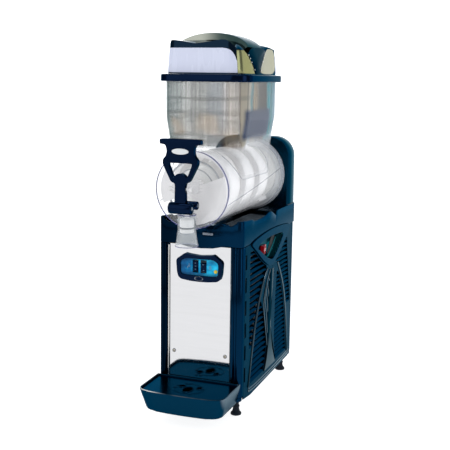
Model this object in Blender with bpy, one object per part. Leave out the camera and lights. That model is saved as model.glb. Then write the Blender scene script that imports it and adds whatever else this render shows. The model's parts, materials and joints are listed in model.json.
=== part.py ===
"""Slushie machine with one bowl: cabinet, freezing drum, auger, clear bowl, lid, tap and drip tray.

Metres, +Z up. The origin is on the counter under the middle of the machine, the customer stands at -Y
and +X is on the customer's right. Depths are counted back from the front plate with deep().
"""
import bpy
import bmesh
import math
import numpy as np
from mathutils import Matrix, Vector

# ---- driving dimensions -------------------------------------------------------------------------
GAP = 0.0003                 # air between pieces that touch
PLATE_Y = -0.1395            # the steel front plate
HALF_WIDTH = 0.100           # cabinet, half
BACK_DEPTH = 0.404           # front plate to the back of the cabinet
POST_INNER = 0.0733          # inner face of the corner posts
POST_DEPTH = 0.020
POST_LOW, POST_HIGH = 0.040, 0.3937
DECK_LOW, DECK_HIGH = 0.394, 0.456
FLOOR_LOW, FLOOR_HIGH = 0.042, 0.060
AXIS_Z = 0.523               # axis of drum, auger and bowl barrel
BARREL_R, BARREL_WALL = 0.085, 0.003
BARREL_FRONT, BARREL_REAR = -0.052, 0.335
HOPPER_TOP = 0.763
DRUM_R, DRUM_FRONT = 0.051, 0.0
AUGER_R, AUGER_INNER_R = 0.079, 0.066
AUGER_PITCH, AUGER_BAND = 0.100, 0.062
SHAFT_R = 0.005
TROUGH_R = 0.0935            # clearance under the barrel
HOUSING_TOP = 0.617
LID_LOW, LID_HIGH = 0.753, 0.769
PIVOT_DEPTH, PIVOT_Z = -0.108, 0.532
SPOUT_DEPTH = -0.077
PISTON_R = 0.0150
TRAY_RIM = 0.0845
ROCKER_TILT = math.radians(12)

for item in list(bpy.data.objects):
    bpy.data.objects.remove(item, do_unlink=True)


def deep(depth):
    """World Y of a depth counted back from the front plate."""
    return PLATE_Y + depth


# ---- materials ----------------------------------------------------------------------------------
def material(name, colour, roughness, metallic=0.0, alpha=1.0):
    made = bpy.data.materials.new(name)
    made.use_nodes = True
    shader = made.node_tree.nodes["Principled BSDF"]
    shader.inputs["Base Color"].default_value = (*colour, 1.0)
    shader.inputs["Roughness"].default_value = roughness
    shader.inputs["Metallic"].default_value = metallic
    shader.inputs["Alpha"].default_value = alpha
    return made


NAVY = material("navy_plastic", (0.010, 0.016, 0.028), 0.22)
BLACK = material("black_plastic", (0.008, 0.009, 0.012), 0.3)
STEEL = material("brushed_steel", (0.62, 0.63, 0.65), 0.28, 1.0)
ZINC = material("zinc_sheet", (0.48, 0.49, 0.50), 0.45, 1.0)
CLEAR = material("clear_bowl", (0.78, 0.84, 0.80), 0.06, 0.0, 0.3)
WHITE = material("white_plastic", (0.82, 0.82, 0.83), 0.35)
LIGHT = material("lamp_diffuser", (0.85, 0.86, 0.95), 0.4)
RUBBER = material("rubber", (0.015, 0.015, 0.016), 0.75)
SEAL = material("silicone", (0.55, 0.56, 0.56), 0.6)
SCREEN = material("blue_display", (0.02, 0.20, 0.55), 0.2)
AMBER = material("amber_lens", (0.75, 0.45, 0.05), 0.25)
RED = material("red_lens", (0.55, 0.02, 0.02), 0.25)
MACHINE = material("machine_paint", (0.02, 0.02, 0.022), 0.5)
COPPER = material("copper", (0.55, 0.25, 0.13), 0.35, 1.0)
BADGE = material("silver_badge", (0.70, 0.71, 0.70), 0.3, 0.6)


# ---- mesh helpers -------------------------------------------------------------------------------
def place(name, mesh, colour, sharp=35):
    """One object from a bmesh: normals out, smooth with sharp edges, linked to the scene."""
    bmesh.ops.recalc_face_normals(mesh, faces=mesh.faces)
    data = bpy.data.meshes.new(name)
    mesh.to_mesh(data)
    mesh.free()
    data.materials.append(colour)
    data.shade_smooth()
    data.set_sharp_from_angle(angle=math.radians(sharp))
    made = bpy.data.objects.new(name, data)
    bpy.context.scene.collection.objects.link(made)
    return made


def lift(point, axis, along):
    """A flat point (a, b) and a distance along an axis, as x, y, z."""
    a, b = point
    return {"X": (along, a, b), "Y": (a, along, b), "Z": (a, b, along)}[axis]


def prism(name, outline, axis, low, high, colour, holes=()):
    """An outline, with holes, extruded along an axis. Points are (y, z), (x, z) or (x, y)."""
    mesh = bmesh.new()
    loops = [outline, *holes]
    edges = []
    for loop in loops:
        corners = [mesh.verts.new(lift(p, axis, low)) for p in loop]
        edges += [mesh.edges.new((corners[i - 1], corners[i])) for i in range(len(corners))]
    if holes:
        bmesh.ops.triangle_fill(mesh, edges=edges, use_beauty=True)
    else:
        mesh.faces.new(mesh.verts[:])
    grown = bmesh.ops.extrude_face_region(mesh, geom=mesh.faces[:])
    moved = [g for g in grown["geom"] if isinstance(g, bmesh.types.BMVert)]
    bmesh.ops.translate(mesh, verts=moved, vec=Vector(lift((0, 0), axis, high - low)))
    return place(name, mesh, colour)


def box(name, low, high, colour):
    outline = [(low[0], low[1]), (high[0], low[1]), (high[0], high[1]), (low[0], high[1])]
    return prism(name, outline, "Z", low[2], high[2], colour)


def arc(centre, radius, start, end, steps):
    """Points on an arc, degrees counted anticlockwise from the first axis."""
    angles = np.radians(np.linspace(start, end, steps + 1))
    return [(centre[0] + radius * math.cos(a), centre[1] + radius * math.sin(a)) for a in angles]


def rounded(low, high, radius, steps=5):
    """A rectangle with round corners, anticlockwise."""
    (a0, b0), (a1, b1) = low, high
    corners = [(a1 - radius, b0 + radius, -90), (a1 - radius, b1 - radius, 0),
               (a0 + radius, b1 - radius, 90), (a0 + radius, b0 + radius, 180)]
    return [p for a, b, start in corners for p in arc((a, b), radius, start, start + 90, steps)]


def circle(centre, radius, steps=16):
    return arc(centre, radius, 0, 360, steps)[:-1]


def mirrored(half):
    """A closed outline from its right half, listed from the bottom middle to the top middle."""
    return half + [(-a, b) for a, b in reversed(half) if abs(a) > 1e-9]


def turned(name, profile, axis, centre, colour, steps=24, ring=False):
    """A profile of (radius, distance along the axis) turned about the axis. A ring's profile is closed."""
    mesh = bmesh.new()
    turn = np.radians(np.arange(steps) * 360.0 / steps)
    rows = []
    for radius, along in profile:
        if radius < 1e-9:
            rows.append([mesh.verts.new(lift((centre[0], centre[1]), axis, along))])
            continue
        rows.append([mesh.verts.new(lift((centre[0] + radius * math.cos(t),
                                          centre[1] + radius * math.sin(t)), axis, along)) for t in turn])
    pairs = list(zip(rows, rows[1:] + rows[:1] if ring else rows[1:]))
    for one, two in pairs:
        for i in range(steps):
            j = (i + 1) % steps
            corners = [one[i % len(one)], one[j % len(one)], two[j % len(two)], two[i % len(two)]]
            unique = list(dict.fromkeys(corners))
            if len(unique) > 2:
                mesh.faces.new(unique)
    return place(name, mesh, colour)


def loft(name, rings, colour):
    """A closed solid through rings of equally many x, y, z points, capped at both ends."""
    mesh = bmesh.new()
    rows = [[mesh.verts.new(p) for p in ring] for ring in rings]
    count = len(rows[0])
    for one, two in zip(rows, rows[1:]):
        for i in range(count):
            j = (i + 1) % count
            mesh.faces.new([one[i], one[j], two[j], two[i]])
    mesh.faces.new(rows[0])
    mesh.faces.new(rows[-1])
    bmesh.ops.triangulate(mesh, faces=mesh.faces[:])
    return place(name, mesh, colour)


def combine(target, tools, operation):
    """Boolean modifiers on the target; the tools stay as hidden guides."""
    for tool in tools:
        tool.hide_render = True
        tool.display_type = "WIRE"
        change = target.modifiers.new(operation.lower(), "BOOLEAN")
        change.operation = operation
        change.object = tool
        change.solver = "EXACT"
    return target


def cut(target, *tools):
    return combine(target, tools, "DIFFERENCE")


def join(target, *tools):
    return combine(target, tools, "UNION")


def pivot_at(thing, point, parent=None):
    """Moves a piece's origin to a point on its joint axis without moving its shape."""
    thing.data.transform(Matrix.Translation(-Vector(point)))
    thing.location = point
    return thing


def sides(name, build):
    """A left and a right copy of a piece: build(name, sign)."""
    return [build(f"{name}_{word}", sign) for word, sign in (("left", -1), ("right", 1))]


# ---- cabinet ------------------------------------------------------------------------------------
def foot(name, x, depth):
    """Rubber foot: a disc, a waist and a stud up to the cabinet floor."""
    profile = [(0, 0), (0.0125, 0), (0.0125, 0.004), (0.0075, 0.013), (0.0065, FLOOR_LOW - GAP),
               (0, FLOOR_LOW - GAP)]
    return turned(name, profile, "Z", (x, deep(depth)), RUBBER, 20)


def post(name, sign, depth, facing):
    """Corner post with a round outer corner and shallow flutes; facing is -1 in front, 1 at the rear."""
    outer = HALF_WIDTH
    flat = [(POST_INNER, POST_DEPTH), (POST_INNER, 0.0)]
    flutes = []
    for groove in (0.0785, 0.0835):
        flutes += [(groove, 0.0), (groove + 0.0005, 0.0012), (groove + 0.0020, 0.0012), (groove + 0.0025, 0.0)]
    corner = arc((outer - 0.011, 0.011), 0.011, -90, 0, 6)
    outline = flat + flutes + corner + [(outer, POST_DEPTH)]
    start = deep(depth)
    points = [(sign * x, start - facing * y) for x, y in outline]
    return prism(name, points, "Z", POST_LOW, POST_HIGH, NAVY)


def post_pair(where, depth, facing):
    for word, sign in (("left", -1), ("right", 1)):
        post(f"post_{where}_{word}", sign, depth, facing)


def chassis():
    """Folded steel floor pan that carries the compressor, fan and feet."""
    edge = 0.0955
    pan = box("chassis_base", (-edge, deep(0.0215), FLOOR_LOW), (edge, deep(0.3825), FLOOR_HIGH), ZINC)
    hollow = box("chassis_hollow", (-edge + 0.002, deep(0.0235), FLOOR_LOW + 0.003),
                 (edge - 0.002, deep(0.3805), FLOOR_HIGH + 0.01), ZINC)
    return cut(pan, hollow)


def front_panel():
    outline = [(-0.0727, 0.0600), (0.0727, 0.0600), (0.0727, 0.3935), (-0.0727, 0.3935)]
    window = [(-0.0440, 0.3285), (0.0440, 0.3285), (0.0440, 0.3625), (-0.0440, 0.3625)]
    return prism("front_panel", outline, "Y", deep(0.0), deep(0.0015), STEEL, [window])


def panel_screw(name, sign):
    profile = [(0, deep(-0.0021)), (0.0026, deep(-0.0018)), (0.0034, deep(-GAP)), (0, deep(-GAP))]
    return turned(name, profile, "Y", (sign * 0.0623, 0.1436), STEEL, 14)


def display_outline(grow=0.0):
    """Half outline of the control bezel, bottom middle to top middle."""
    return [(0, 0.3110 - grow), (0.0430 + grow, 0.3145 - grow), (0.0527 + grow, 0.3236),
            (0.0560 + grow, 0.3600), (0.0347 + grow, 0.3750 + grow), (0.0270, 0.3732 + grow),
            (0, 0.3706 + grow)]


def display():
    """Control bezel, its lit plate, two rockers and the amber lamp."""
    window = mirrored([(0, 0.3250), (0.0410, 0.3250), (0.0460, 0.3290), (0.0462, 0.3570), (0.0400, 0.3650),
                       (0.0200, 0.3640), (0, 0.3632)])
    bezel = prism("display_bezel", mirrored(display_outline()), "Y", deep(-0.0065), deep(-GAP), BLACK,
                  [window])
    boss = prism("emblem_boss", [(0.0105 * math.cos(t), 0.3180 + 0.0045 * math.sin(t))
                                 for t in np.radians(np.arange(0, 360, 24))], "Y", deep(-0.0080), deep(-0.003),
                 BLACK)
    join(bezel, boss)
    lamp_hole = circle((0.0387, 0.3370), 0.0045, 12)
    slots = [rounded((sign * 0.0096 - 0.0074, 0.3310), (sign * 0.0096 + 0.0074, 0.3612), 0.001, 1)
             for sign in (-1, 1)]
    plate_outline = mirrored([(0, 0.3256), (0.0406, 0.3256), (0.0454, 0.3294), (0.0456, 0.3567),
                              (0.0397, 0.3644), (0.0200, 0.3634), (0, 0.3626)])
    prism("display_plate", plate_outline, "Y", deep(-0.0035), deep(-0.0010), SCREEN, [*slots, lamp_hole])
    lens = [(0, deep(-0.0062)), (0.0030, deep(-0.0055)), (0.0042, deep(-0.0035)), (0.0042, deep(0.004)),
            (0, deep(0.004))]
    turned("indicator_lamp", lens, "Y", (0.0387, 0.3370), AMBER, 14)


def rocker(name, x, tilt):
    """Rocker key on a cross pin: a wedge-backed cap that turns about X."""
    centre_z, axis_depth = 0.3461, 0.005
    face = [(deep(-0.0052), -0.0125), (deep(-0.0028), -0.0045), (deep(-0.0028), 0.0045),
            (deep(-0.0052), 0.0125)]
    back = [(deep(0.006), 0.0085), (deep(0.0095), 0.0030), (deep(0.0095), -0.0030), (deep(0.006), -0.0085)]
    outline = [(a, centre_z + b) for a, b in face + back]
    key = prism(name, outline, "X", x - 0.0068, x + 0.0068, BLACK)
    pivot_at(key, (x, deep(axis_depth), centre_z))
    key.rotation_euler = (tilt, 0, 0)
    return key


# side cover: louvred panel with a triangular hand recess
RECESS_TOP = [(0.0570, 0.3930), (0.1000, 0.4000), (0.1580, 0.4045), (0.2150, 0.4060), (0.2900, 0.4035),
              (0.3700, 0.3950)]
RECESS_BOTTOM = [(0.3450, 0.3780), (0.2980, 0.3480), (0.2480, 0.3235), (0.2170, 0.3175), (0.1860, 0.3200),
                 (0.1400, 0.3420), (0.0950, 0.3700)]
RECESS_HOLE = [(0.1020, 0.3760), (0.1150, 0.3830), (0.1600, 0.3880), (0.2150, 0.3890), (0.2900, 0.3850),
               (0.3040, 0.3780), (0.2600, 0.3480), (0.2250, 0.3320), (0.2080, 0.3310), (0.1700, 0.3430),
               (0.1250, 0.3660)]


def grown(points, amount):
    """An outline pushed out from its centre by about the given amount."""
    centre = np.mean(np.array(points), axis=0)
    out = []
    for p in points:
        away = np.array(p) - centre
        out.append(tuple(np.array(p) + away / np.linalg.norm(away) * amount))
    return out


def to_world(points):
    return [(deep(d), z) for d, z in points]


def side_panel(name, sign):
    """Thin side cover with tall slots in front and two fields of level louvres through it."""
    inner, outer = sorted((sign * (HALF_WIDTH - 0.003), sign * HALF_WIDTH))
    outline = [(0.0205, 0.0400), (0.0700, 0.0340), (0.3740, 0.0400), (0.3831, 0.0420), (0.3831, 0.3935),
               (0.0205, 0.3935)]
    holes = [to_world(grown(RECESS_HOLE, 0.0028))[::-1]]
    for i in range(6):
        low = 0.0790 + 0.0522 * i
        holes.append(to_world([(0.0255, low), (0.0315, low), (0.0315, low + 0.033), (0.0255, low + 0.033)]))
    for row in range(14):
        low = 0.0720 + 0.0170 * row
        span = [(0.0840, 0.1950), (0.2450, 0.3550)] if row < 8 else [(0.0700, 0.1500), (0.2850, 0.3550)]
        for start, end in span:
            holes.append(to_world([(start, low), (end, low), (end, low + 0.006), (start, low + 0.006)]))
    panel_outline = to_world(outline)
    return prism(name, panel_outline, "X", inner, outer, NAVY, holes)


def recess(name, sign):
    """Proud triangular bezel with a shallow cup behind it, a hand hold and air intake."""
    face = sign * (HALF_WIDTH + GAP)
    proud = sign * (HALF_WIDTH + 0.0024)
    low, high = sorted((face, proud))
    bezel = prism(name, to_world(RECESS_TOP + RECESS_BOTTOM), "X", low, high, NAVY)
    low, high = sorted((sign * 0.0810, sign * (HALF_WIDTH + 0.001)))
    cup = prism(name + "_cup", to_world(grown(RECESS_HOLE, 0.0020)), "X", low, high, NAVY)
    low, high = sorted((sign * 0.0830, sign * (HALF_WIDTH + 0.004)))
    space = prism(name + "_space", to_world(RECESS_HOLE), "X", low, high, NAVY)
    join(bezel, cup)
    cut(bezel, space)
    vent_low, vent_high = sorted((sign * 0.075, sign * 0.0850))
    vent = prism(name + "_vent", to_world([(0.225, 0.3450), (0.240, 0.3450), (0.275, 0.3800), (0.245, 0.3800)]),
                 "X", vent_low, vent_high, NAVY)
    cut(bezel, vent)
    if sign > 0:
        hole = box(name + "_switch_hole", (0.075, deep(0.1620), 0.3440), (0.085, deep(0.2050), 0.3700), NAVY)
        cut(bezel, hole)
    return bezel


def power_rocker():
    """Lit rocker on the right-hand recess floor, turning about the upright axis."""
    depth, z, face = 0.1835, 0.3572, 0.0930
    outline = [(face, deep(depth) - 0.0155), (face - 0.0018, deep(depth)), (face, deep(depth) + 0.0155),
               (0.0790, deep(depth) + 0.0130), (0.0730, deep(depth) + 0.0050), (0.0730, deep(depth) - 0.0050),
               (0.0790, deep(depth) - 0.0130)]
    key = prism("power_rocker", outline, "Z", z - 0.0112, z + 0.0112, RED)
    pivot_at(key, (0.0760, deep(depth), z))
    key.rotation_euler = (0, 0, math.radians(10))
    return key


def rear_panel():
    """Sheet steel back with rows of air slots and the inlet hole."""
    outline = [(-0.0727, 0.0450), (0.0727, 0.0450), (0.0727, 0.3935), (-0.0727, 0.3935)]
    slots = [rounded((-0.055, 0.140 + 0.016 * i), (0.055, 0.146 + 0.016 * i), 0.0028, 1) for i in range(10)]
    inlet = [(-0.0145, 0.0740), (0.0145, 0.0740), (0.0145, 0.0960), (-0.0145, 0.0960)]
    return prism("rear_panel", outline, "Y", deep(0.4020), deep(0.4035), ZINC, slots + [inlet])


def power_inlet():
    shell = box("power_inlet", (-0.0142, deep(0.3800), 0.0743), (0.0142, deep(0.4034), 0.0957), BLACK)
    mouth = box("inlet_mouth", (-0.0120, deep(0.3850), 0.0770), (0.0120, deep(0.4100), 0.0930), BLACK)
    return cut(shell, mouth)


def top_deck():
    """Moulded deck: header band in front, wavy side walls and the floor under the barrel."""
    wave = [(-0.003, 0.4440), (0.012, 0.4520), (0.040, 0.4500), (0.068, 0.4480), (0.100, 0.4430),
            (0.135, 0.4420), (0.165, 0.4450), (0.185, 0.4490), (0.205, 0.4500), (0.220, 0.4460),
            (0.232, 0.4400), (0.2445, 0.4340)]
    side_view = to_world([(-0.0020, 0.3940)] + [(-0.0020, 0.4420)] + wave[1:] + [(0.2445, 0.3940)])
    deck = prism("top_deck", side_view, "X", -HALF_WIDTH, HALF_WIDTH, NAVY)
    plan = rounded((-HALF_WIDTH, deep(-0.002)), (HALF_WIDTH, deep(0.400)), 0.012, 5)
    keep = prism("deck_plan", plan, "Z", 0.380, 0.470, NAVY)
    combine(deck, [keep], "INTERSECT")
    upper = box("deck_upper", (-0.0955, deep(0.0060), 0.4290), (0.0955, deep(0.2500), 0.4700), NAVY)
    lower = box("deck_lower", (-0.0955, deep(0.0040), 0.3800), (0.0955, deep(0.2405), 0.4240), NAVY)
    trough = turned("deck_trough", [(0, deep(-0.05)), (TROUGH_R, deep(-0.05)), (TROUGH_R, deep(0.30)),
                                    (0, deep(0.30))], "Y", (0, AXIS_Z), NAVY, 36)
    sag = prism("deck_sag", [(-0.0600, 0.3850), (0.0600, 0.3850)] + arc((0, 0.7000), 0.3100, -79, -101, 8), "Y",
                deep(-0.01), deep(0.0035), NAVY)
    wire_way = box("deck_wire_way", (-0.030, deep(0.150), 0.415), (0.030, deep(0.190), 0.435), NAVY)
    return cut(deck, upper, lower, trough, sag, wire_way)


def rear_housing():
    """Motor cover behind the bowl: low shoulders under the barrel and a tall round-cornered back."""
    side_view = to_world([(0.2450, 0.3940), (0.2450, 0.4380), (0.2520, 0.4450), (0.3380, 0.4450),
                          (0.3380, HOUSING_TOP), (BACK_DEPTH, HOUSING_TOP), (BACK_DEPTH, 0.3940)])
    shell = prism("rear_housing", side_view, "X", -HALF_WIDTH, HALF_WIDTH, NAVY)
    arch = [(HALF_WIDTH, 0.370), (HALF_WIDTH, 0.5670)] + arc((0.050, 0.5670), 0.050, 0, 90, 8)[1:]
    keep = prism("housing_arch", arch + [(-a, b) for a, b in reversed(arch)],
                 "Y", deep(0.20), deep(0.45), NAVY)
    combine(shell, [keep], "INTERSECT")
    trough = turned("housing_trough", [(0, deep(0.20)), (TROUGH_R, deep(0.20)), (TROUGH_R, deep(0.3378)),
                                       (0, deep(0.3378))], "Y", (0, AXIS_Z), NAVY, 36)
    upper = [(0.097, 0.3800), (0.097, 0.5660)] + arc((0.050, 0.5670), 0.047, 0, 90, 8)[1:]
    room = prism("housing_room", upper + [(-a, b) for a, b in reversed(upper)], "Y", deep(0.3415),
                 deep(0.4010), NAVY)
    under = box("housing_under", (-0.097, deep(0.2480), 0.3800), (0.097, deep(0.3500), 0.4255), NAVY)
    bore = turned("housing_bore", [(0, deep(0.33)), (0.0120, deep(0.33)), (0.0120, deep(0.35)), (0, deep(0.35))],
                  "Y", (0, AXIS_Z), NAVY, 24)
    cut(shell, trough, room, under, bore)
    for i in range(8):
        z = 0.470 + 0.014 * i
        slot = box(f"housing_slot_{i}", (-0.045, deep(0.39), z), (0.045, deep(0.42), z + 0.006), NAVY)
        cut(shell, slot)
    return shell


# ---- drive and refrigeration --------------------------------------------------------------------
def ring_profile(inner, outer, front, back):
    return [(inner, deep(front)), (outer, deep(front)), (outer, deep(back)), (inner, deep(back))]


def drive():
    on_axis = (0, AXIS_Z)
    front_cap = [(0.0080, deep(DRUM_FRONT)), (0.0400, deep(DRUM_FRONT)), (0.0480, deep(0.003)),
                 (DRUM_R, deep(0.009)), (DRUM_R, deep(0.3350)), (0.0680, deep(0.3350)), (0.0680, deep(0.3377)),
                 (0.0080, deep(0.3377))]
    turned("evaporator_drum", front_cap, "Y", on_axis, STEEL, 30, ring=True)
    turned("bowl_gasket", ring_profile(0.0690, 0.0910, BARREL_REAR + GAP, 0.3375), "Y", on_axis, SEAL, 30,
           ring=True)
    turned("shaft_seal", ring_profile(0.0054, 0.0117, 0.3380, 0.3412), "Y", on_axis, SEAL, 20, ring=True)
    shaft = [(0, deep(-0.0395)), (SHAFT_R, deep(-0.0395)), (SHAFT_R, deep(0.3800)), (0, deep(0.3800))]
    turned("drive_shaft", shaft, "Y", on_axis, STEEL, 16)
    case = prism("gearbox", rounded((-0.036, 0.4880), (0.036, 0.5580), 0.012, 3), "Y", deep(0.3440),
                 deep(0.3860), MACHINE)
    bore = turned("gearbox_bore", [(0, deep(0.34)), (0.0054, deep(0.34)), (0.0054, deep(0.3815)),
                                   (0, deep(0.3815))], "Y", on_axis, MACHINE, 20)
    cut(case, bore)
    motor = [(0, 0.4060), (0.0270, 0.4060), (0.0285, 0.4090), (0.0285, 0.4820), (0.0200, 0.4877),
             (0, 0.4877)]
    turned("gear_motor", motor, "Z", (0, deep(0.3717)), ZINC, 24)


def auger():
    """White plastic helix round the drum, its front scraper blade and the hub on the shaft."""
    steps = 28
    turns = (0.326 + 0.040 - AUGER_BAND) / AUGER_PITCH
    count = int(turns * steps)
    mesh = bmesh.new()
    half = AUGER_BAND / 2
    rows = []
    for i in range(count + 1):
        angle = 2 * math.pi * i / steps + math.radians(-60)
        middle = -0.040 + half + AUGER_PITCH * i / steps
        section = [(AUGER_INNER_R, middle - half), (AUGER_R, middle - half), (AUGER_R, middle + half),
                   (AUGER_INNER_R, middle + half)]
        rows.append([mesh.verts.new((r * math.cos(angle), deep(d), AXIS_Z + r * math.sin(angle)))
                     for r, d in section])
    for one, two in zip(rows, rows[1:]):
        for i in range(4):
            j = (i + 1) % 4
            mesh.faces.new([one[i], one[j], two[j], two[i]])
    mesh.faces.new(rows[0])
    mesh.faces.new(rows[-1])
    helix = place("auger", mesh, WHITE)
    blade = [(-0.0041, AXIS_Z + 0.0023)] + arc((0, AXIS_Z), 0.0775, -84, 24, 10)
    scraper = prism("auger_blade", blade, "Y", deep(-0.0440), deep(-0.0372), WHITE)
    tail = [(0.0037, AXIS_Z - 0.0019)] + arc((0, AXIS_Z), 0.0770, 150, 205, 6)
    second = prism("auger_second_blade", tail, "Y", deep(-0.0438), deep(-0.0374), WHITE)
    hub = turned("auger_hub", [(0, deep(-0.0436)), (0.0180, deep(-0.0436)), (0.0190, deep(-0.0150)),
                               (0.0160, deep(-0.0080)), (0, deep(-0.0080))], "Y", (0, AXIS_Z), WHITE, 24)
    second_strut = box("auger_strut", (-0.0745, deep(-0.0430), AXIS_Z - 0.010),
                       (-0.0640, deep(0.0800), AXIS_Z + 0.010), WHITE)
    join(helix, scraper, hub, second, second_strut)
    bore = turned("auger_bore", [(0, deep(-0.0400)), (SHAFT_R + GAP, deep(-0.0400)),
                                 (SHAFT_R + GAP, deep(0.02)), (0, deep(0.02))], "Y", (0, AXIS_Z), WHITE, 20)
    cut(helix, bore)
    nose = [(0, deep(-0.0482)), (0.0090, deep(-0.0480)), (0.0125, deep(-0.0440 - GAP)), (0, deep(-0.0440 - GAP))]
    turned("auger_nose", nose, "Y", (0, AXIS_Z), WHITE, 20)
    return helix


def cooling():
    """Compressor, condenser, fan and the drier behind the front panel."""
    dome = [(0, 0.0600), (0.0400, 0.0600), (0.0620, 0.0700), (0.0660, 0.0900), (0.0660, 0.1600),
            (0.0560, 0.1850), (0.0300, 0.1960), (0, 0.1980)]
    turned("compressor", dome, "Z", (0, deep(0.3000)), MACHINE, 32)
    condenser_low, condenser_high = (-0.0800, deep(0.0700), 0.0610), (0.0800, deep(0.1050), 0.2200)
    core = box("condenser", condenser_low, condenser_high, ZINC)
    for i in range(5):
        low = 0.0700 + 0.030 * i
        for tag, y0, y1 in (("front", 0.060, 0.078), ("back", 0.097, 0.115)):
            groove = box(f"fin_gap_{tag}_{i}", (-0.075, deep(y0), low), (0.075, deep(y1), low + 0.018), ZINC)
            cut(core, groove)
    ring = [circle((0, 0.140), 0.060, 28)]
    prism("fan_shroud", rounded((-0.075, 0.0610), (0.075, 0.2190), 0.008, 2), "Y", deep(0.1060), deep(0.1200),
          MACHINE, ring)
    blade_hub = turned("fan_blades", [(0, deep(0.1080)), (0.0140, deep(0.1080)), (0.0140, deep(0.1200)),
                                      (0, deep(0.1200))], "Y", (0, 0.140), ZINC, 16)
    for i in range(5):
        turn = math.radians(72 * i)
        blade = box(f"fan_blade_{i}", (0.010, -0.0007, -0.017), (0.054, 0.0007, 0.017), ZINC)
        blade.data.transform(Matrix.Translation((0, deep(0.1140), 0.140)) @ Matrix.Rotation(turn, 4, "Y")
                             @ Matrix.Rotation(math.radians(16), 4, "X"))
        join(blade_hub, blade)
    motor = [(0, deep(0.1203)), (0.0120, deep(0.1203)), (0.0240, deep(0.1280)), (0.0240, deep(0.1650)),
             (0, deep(0.1650))]
    turned("fan_motor", motor, "Y", (0, 0.140), MACHINE, 24)
    bracket = [(-0.028, 0.0605), (0.028, 0.0605), (0.028, 0.0900), (0.010, 0.1130), (-0.010, 0.1130),
               (-0.028, 0.0900)]
    prism("fan_bracket", bracket, "Y", deep(0.1400), deep(0.1440), ZINC)
    drier = [(0, 0.2300), (0.0040, 0.2320), (0.0100, 0.2420), (0.0100, 0.3000), (0.0040, 0.3100), (0, 0.3120)]
    turned("filter_drier", drier, "Z", (-0.0600, deep(0.1400)), COPPER, 16)
    shell = box("control_box", (-0.0560, deep(0.0180), 0.3000), (0.0560, deep(0.0560), 0.3850), BLACK)
    room = box("control_room", (-0.0530, deep(0.0100), 0.3030), (0.0530, deep(0.0530), 0.3820), BLACK)
    cut(shell, room)
    box("control_board", (-0.0480, deep(0.0260), 0.3060), (0.0480, deep(0.0280), 0.3790), BADGE)


# ---- bowl, lid ----------------------------------------------------------------------------------
def hopper_ring(z, half_x, front, back, radius, shrink):
    outline = rounded((-half_x + shrink, deep(front) + shrink), (half_x - shrink, deep(back) - shrink),
                      radius - shrink, 5)
    return [(x, y, z) for x, y in outline]


def bowl():
    """Clear bowl in one moulding: barrel, hopper, spout tube with its skirt, and the handle's two ears."""
    on_axis = (0, AXIS_Z)
    barrel = [(0, deep(BARREL_FRONT)), (BARREL_R - 0.002, deep(BARREL_FRONT)), (BARREL_R, deep(-0.050)),
              (BARREL_R, deep(0.3200)), (0.0915, deep(0.3240)), (0.0915, deep(BARREL_REAR)),
              (0, deep(BARREL_REAR))]
    shell = turned("bowl", barrel, "Y", on_axis, CLEAR, 44)
    levels = [(0.5300, 0.0836, 0.006, 0.248, 0.030), (0.5750, 0.0848, 0.004, 0.251, 0.034),
              (0.6260, 0.0890, 0.002, 0.254, 0.036), (0.6740, 0.0970, 0.000, 0.256, 0.038),
              (HOPPER_TOP, 0.0975, 0.000, 0.256, 0.038)]
    outer = loft("hopper_outer", [hopper_ring(z, x, f, b, r, 0) for z, x, f, b, r in levels], CLEAR)
    inner_levels = [(0.5600, *levels[0][1:])] + levels[1:-1] + [(HOPPER_TOP + 0.01, *levels[-1][1:])]
    inner = loft("hopper_inner", [hopper_ring(z, x, f, b, r, 0.003) for z, x, f, b, r in inner_levels], CLEAR)
    tube = [(0, 0.4050), (0.0255, 0.4050), (0.0225, 0.4200), (0.0200, 0.4400), (0.0195, 0.4480),
            (0.0200, 0.4750), (0, 0.4750)]
    at_spout = (0, deep(SPOUT_DEPTH))
    spout = turned("spout_tube", tube, "Z", at_spout, CLEAR, 28)
    neck = box("spout_neck", (-0.0170, deep(-0.0700), 0.4385), (0.0170, deep(-0.0490), 0.4640), CLEAR)
    join(shell, outer, spout, neck)
    for word, sign in (("left", -1), ("right", 1)):
        low, high = sorted((sign * 0.0140, sign * 0.0185))
        side_view = to_world([(-0.0505, 0.5215), (-0.1060, 0.5215)]) + \
            [(deep(PIVOT_DEPTH) + a, PIVOT_Z + b) for a, b in arc((0, 0), 0.0105, -90, -270, 8)] + \
            to_world([(-0.0505, 0.5480)])
        join(shell, prism(f"ear_{word}", side_view, "X", low, high, CLEAR))
    hollow = turned("barrel_inner", [(0, deep(BARREL_FRONT + BARREL_WALL)),
                                     (BARREL_R - BARREL_WALL, deep(BARREL_FRONT + BARREL_WALL)),
                                     (BARREL_R - BARREL_WALL, deep(0.3400)), (0, deep(0.3400))], "Y", on_axis,
                    CLEAR, 44)
    bore = turned("spout_bore", [(0, 0.3950), (0.0240, 0.3950), (0.0162, 0.4300), (0.0162, 0.4800),
                                 (0, 0.4800)], "Z", at_spout, CLEAR, 28)
    port = box("spout_port", (-0.0110, deep(-0.0700), 0.4425), (0.0110, deep(-0.0460), 0.4600), CLEAR)
    pin_hole = turned("ear_hole", [(0, -0.03), (0.0033, -0.03), (0.0033, 0.03), (0, 0.03)], "X",
                      (deep(PIVOT_DEPTH), PIVOT_Z), CLEAR, 14)
    join(hollow, inner, port, bore, pin_hole)
    return cut(shell, hollow)


CANOPY_HALF, CANOPY_BACK, CANOPY_RADIUS = 0.0895, 0.256, 0.028


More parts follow.
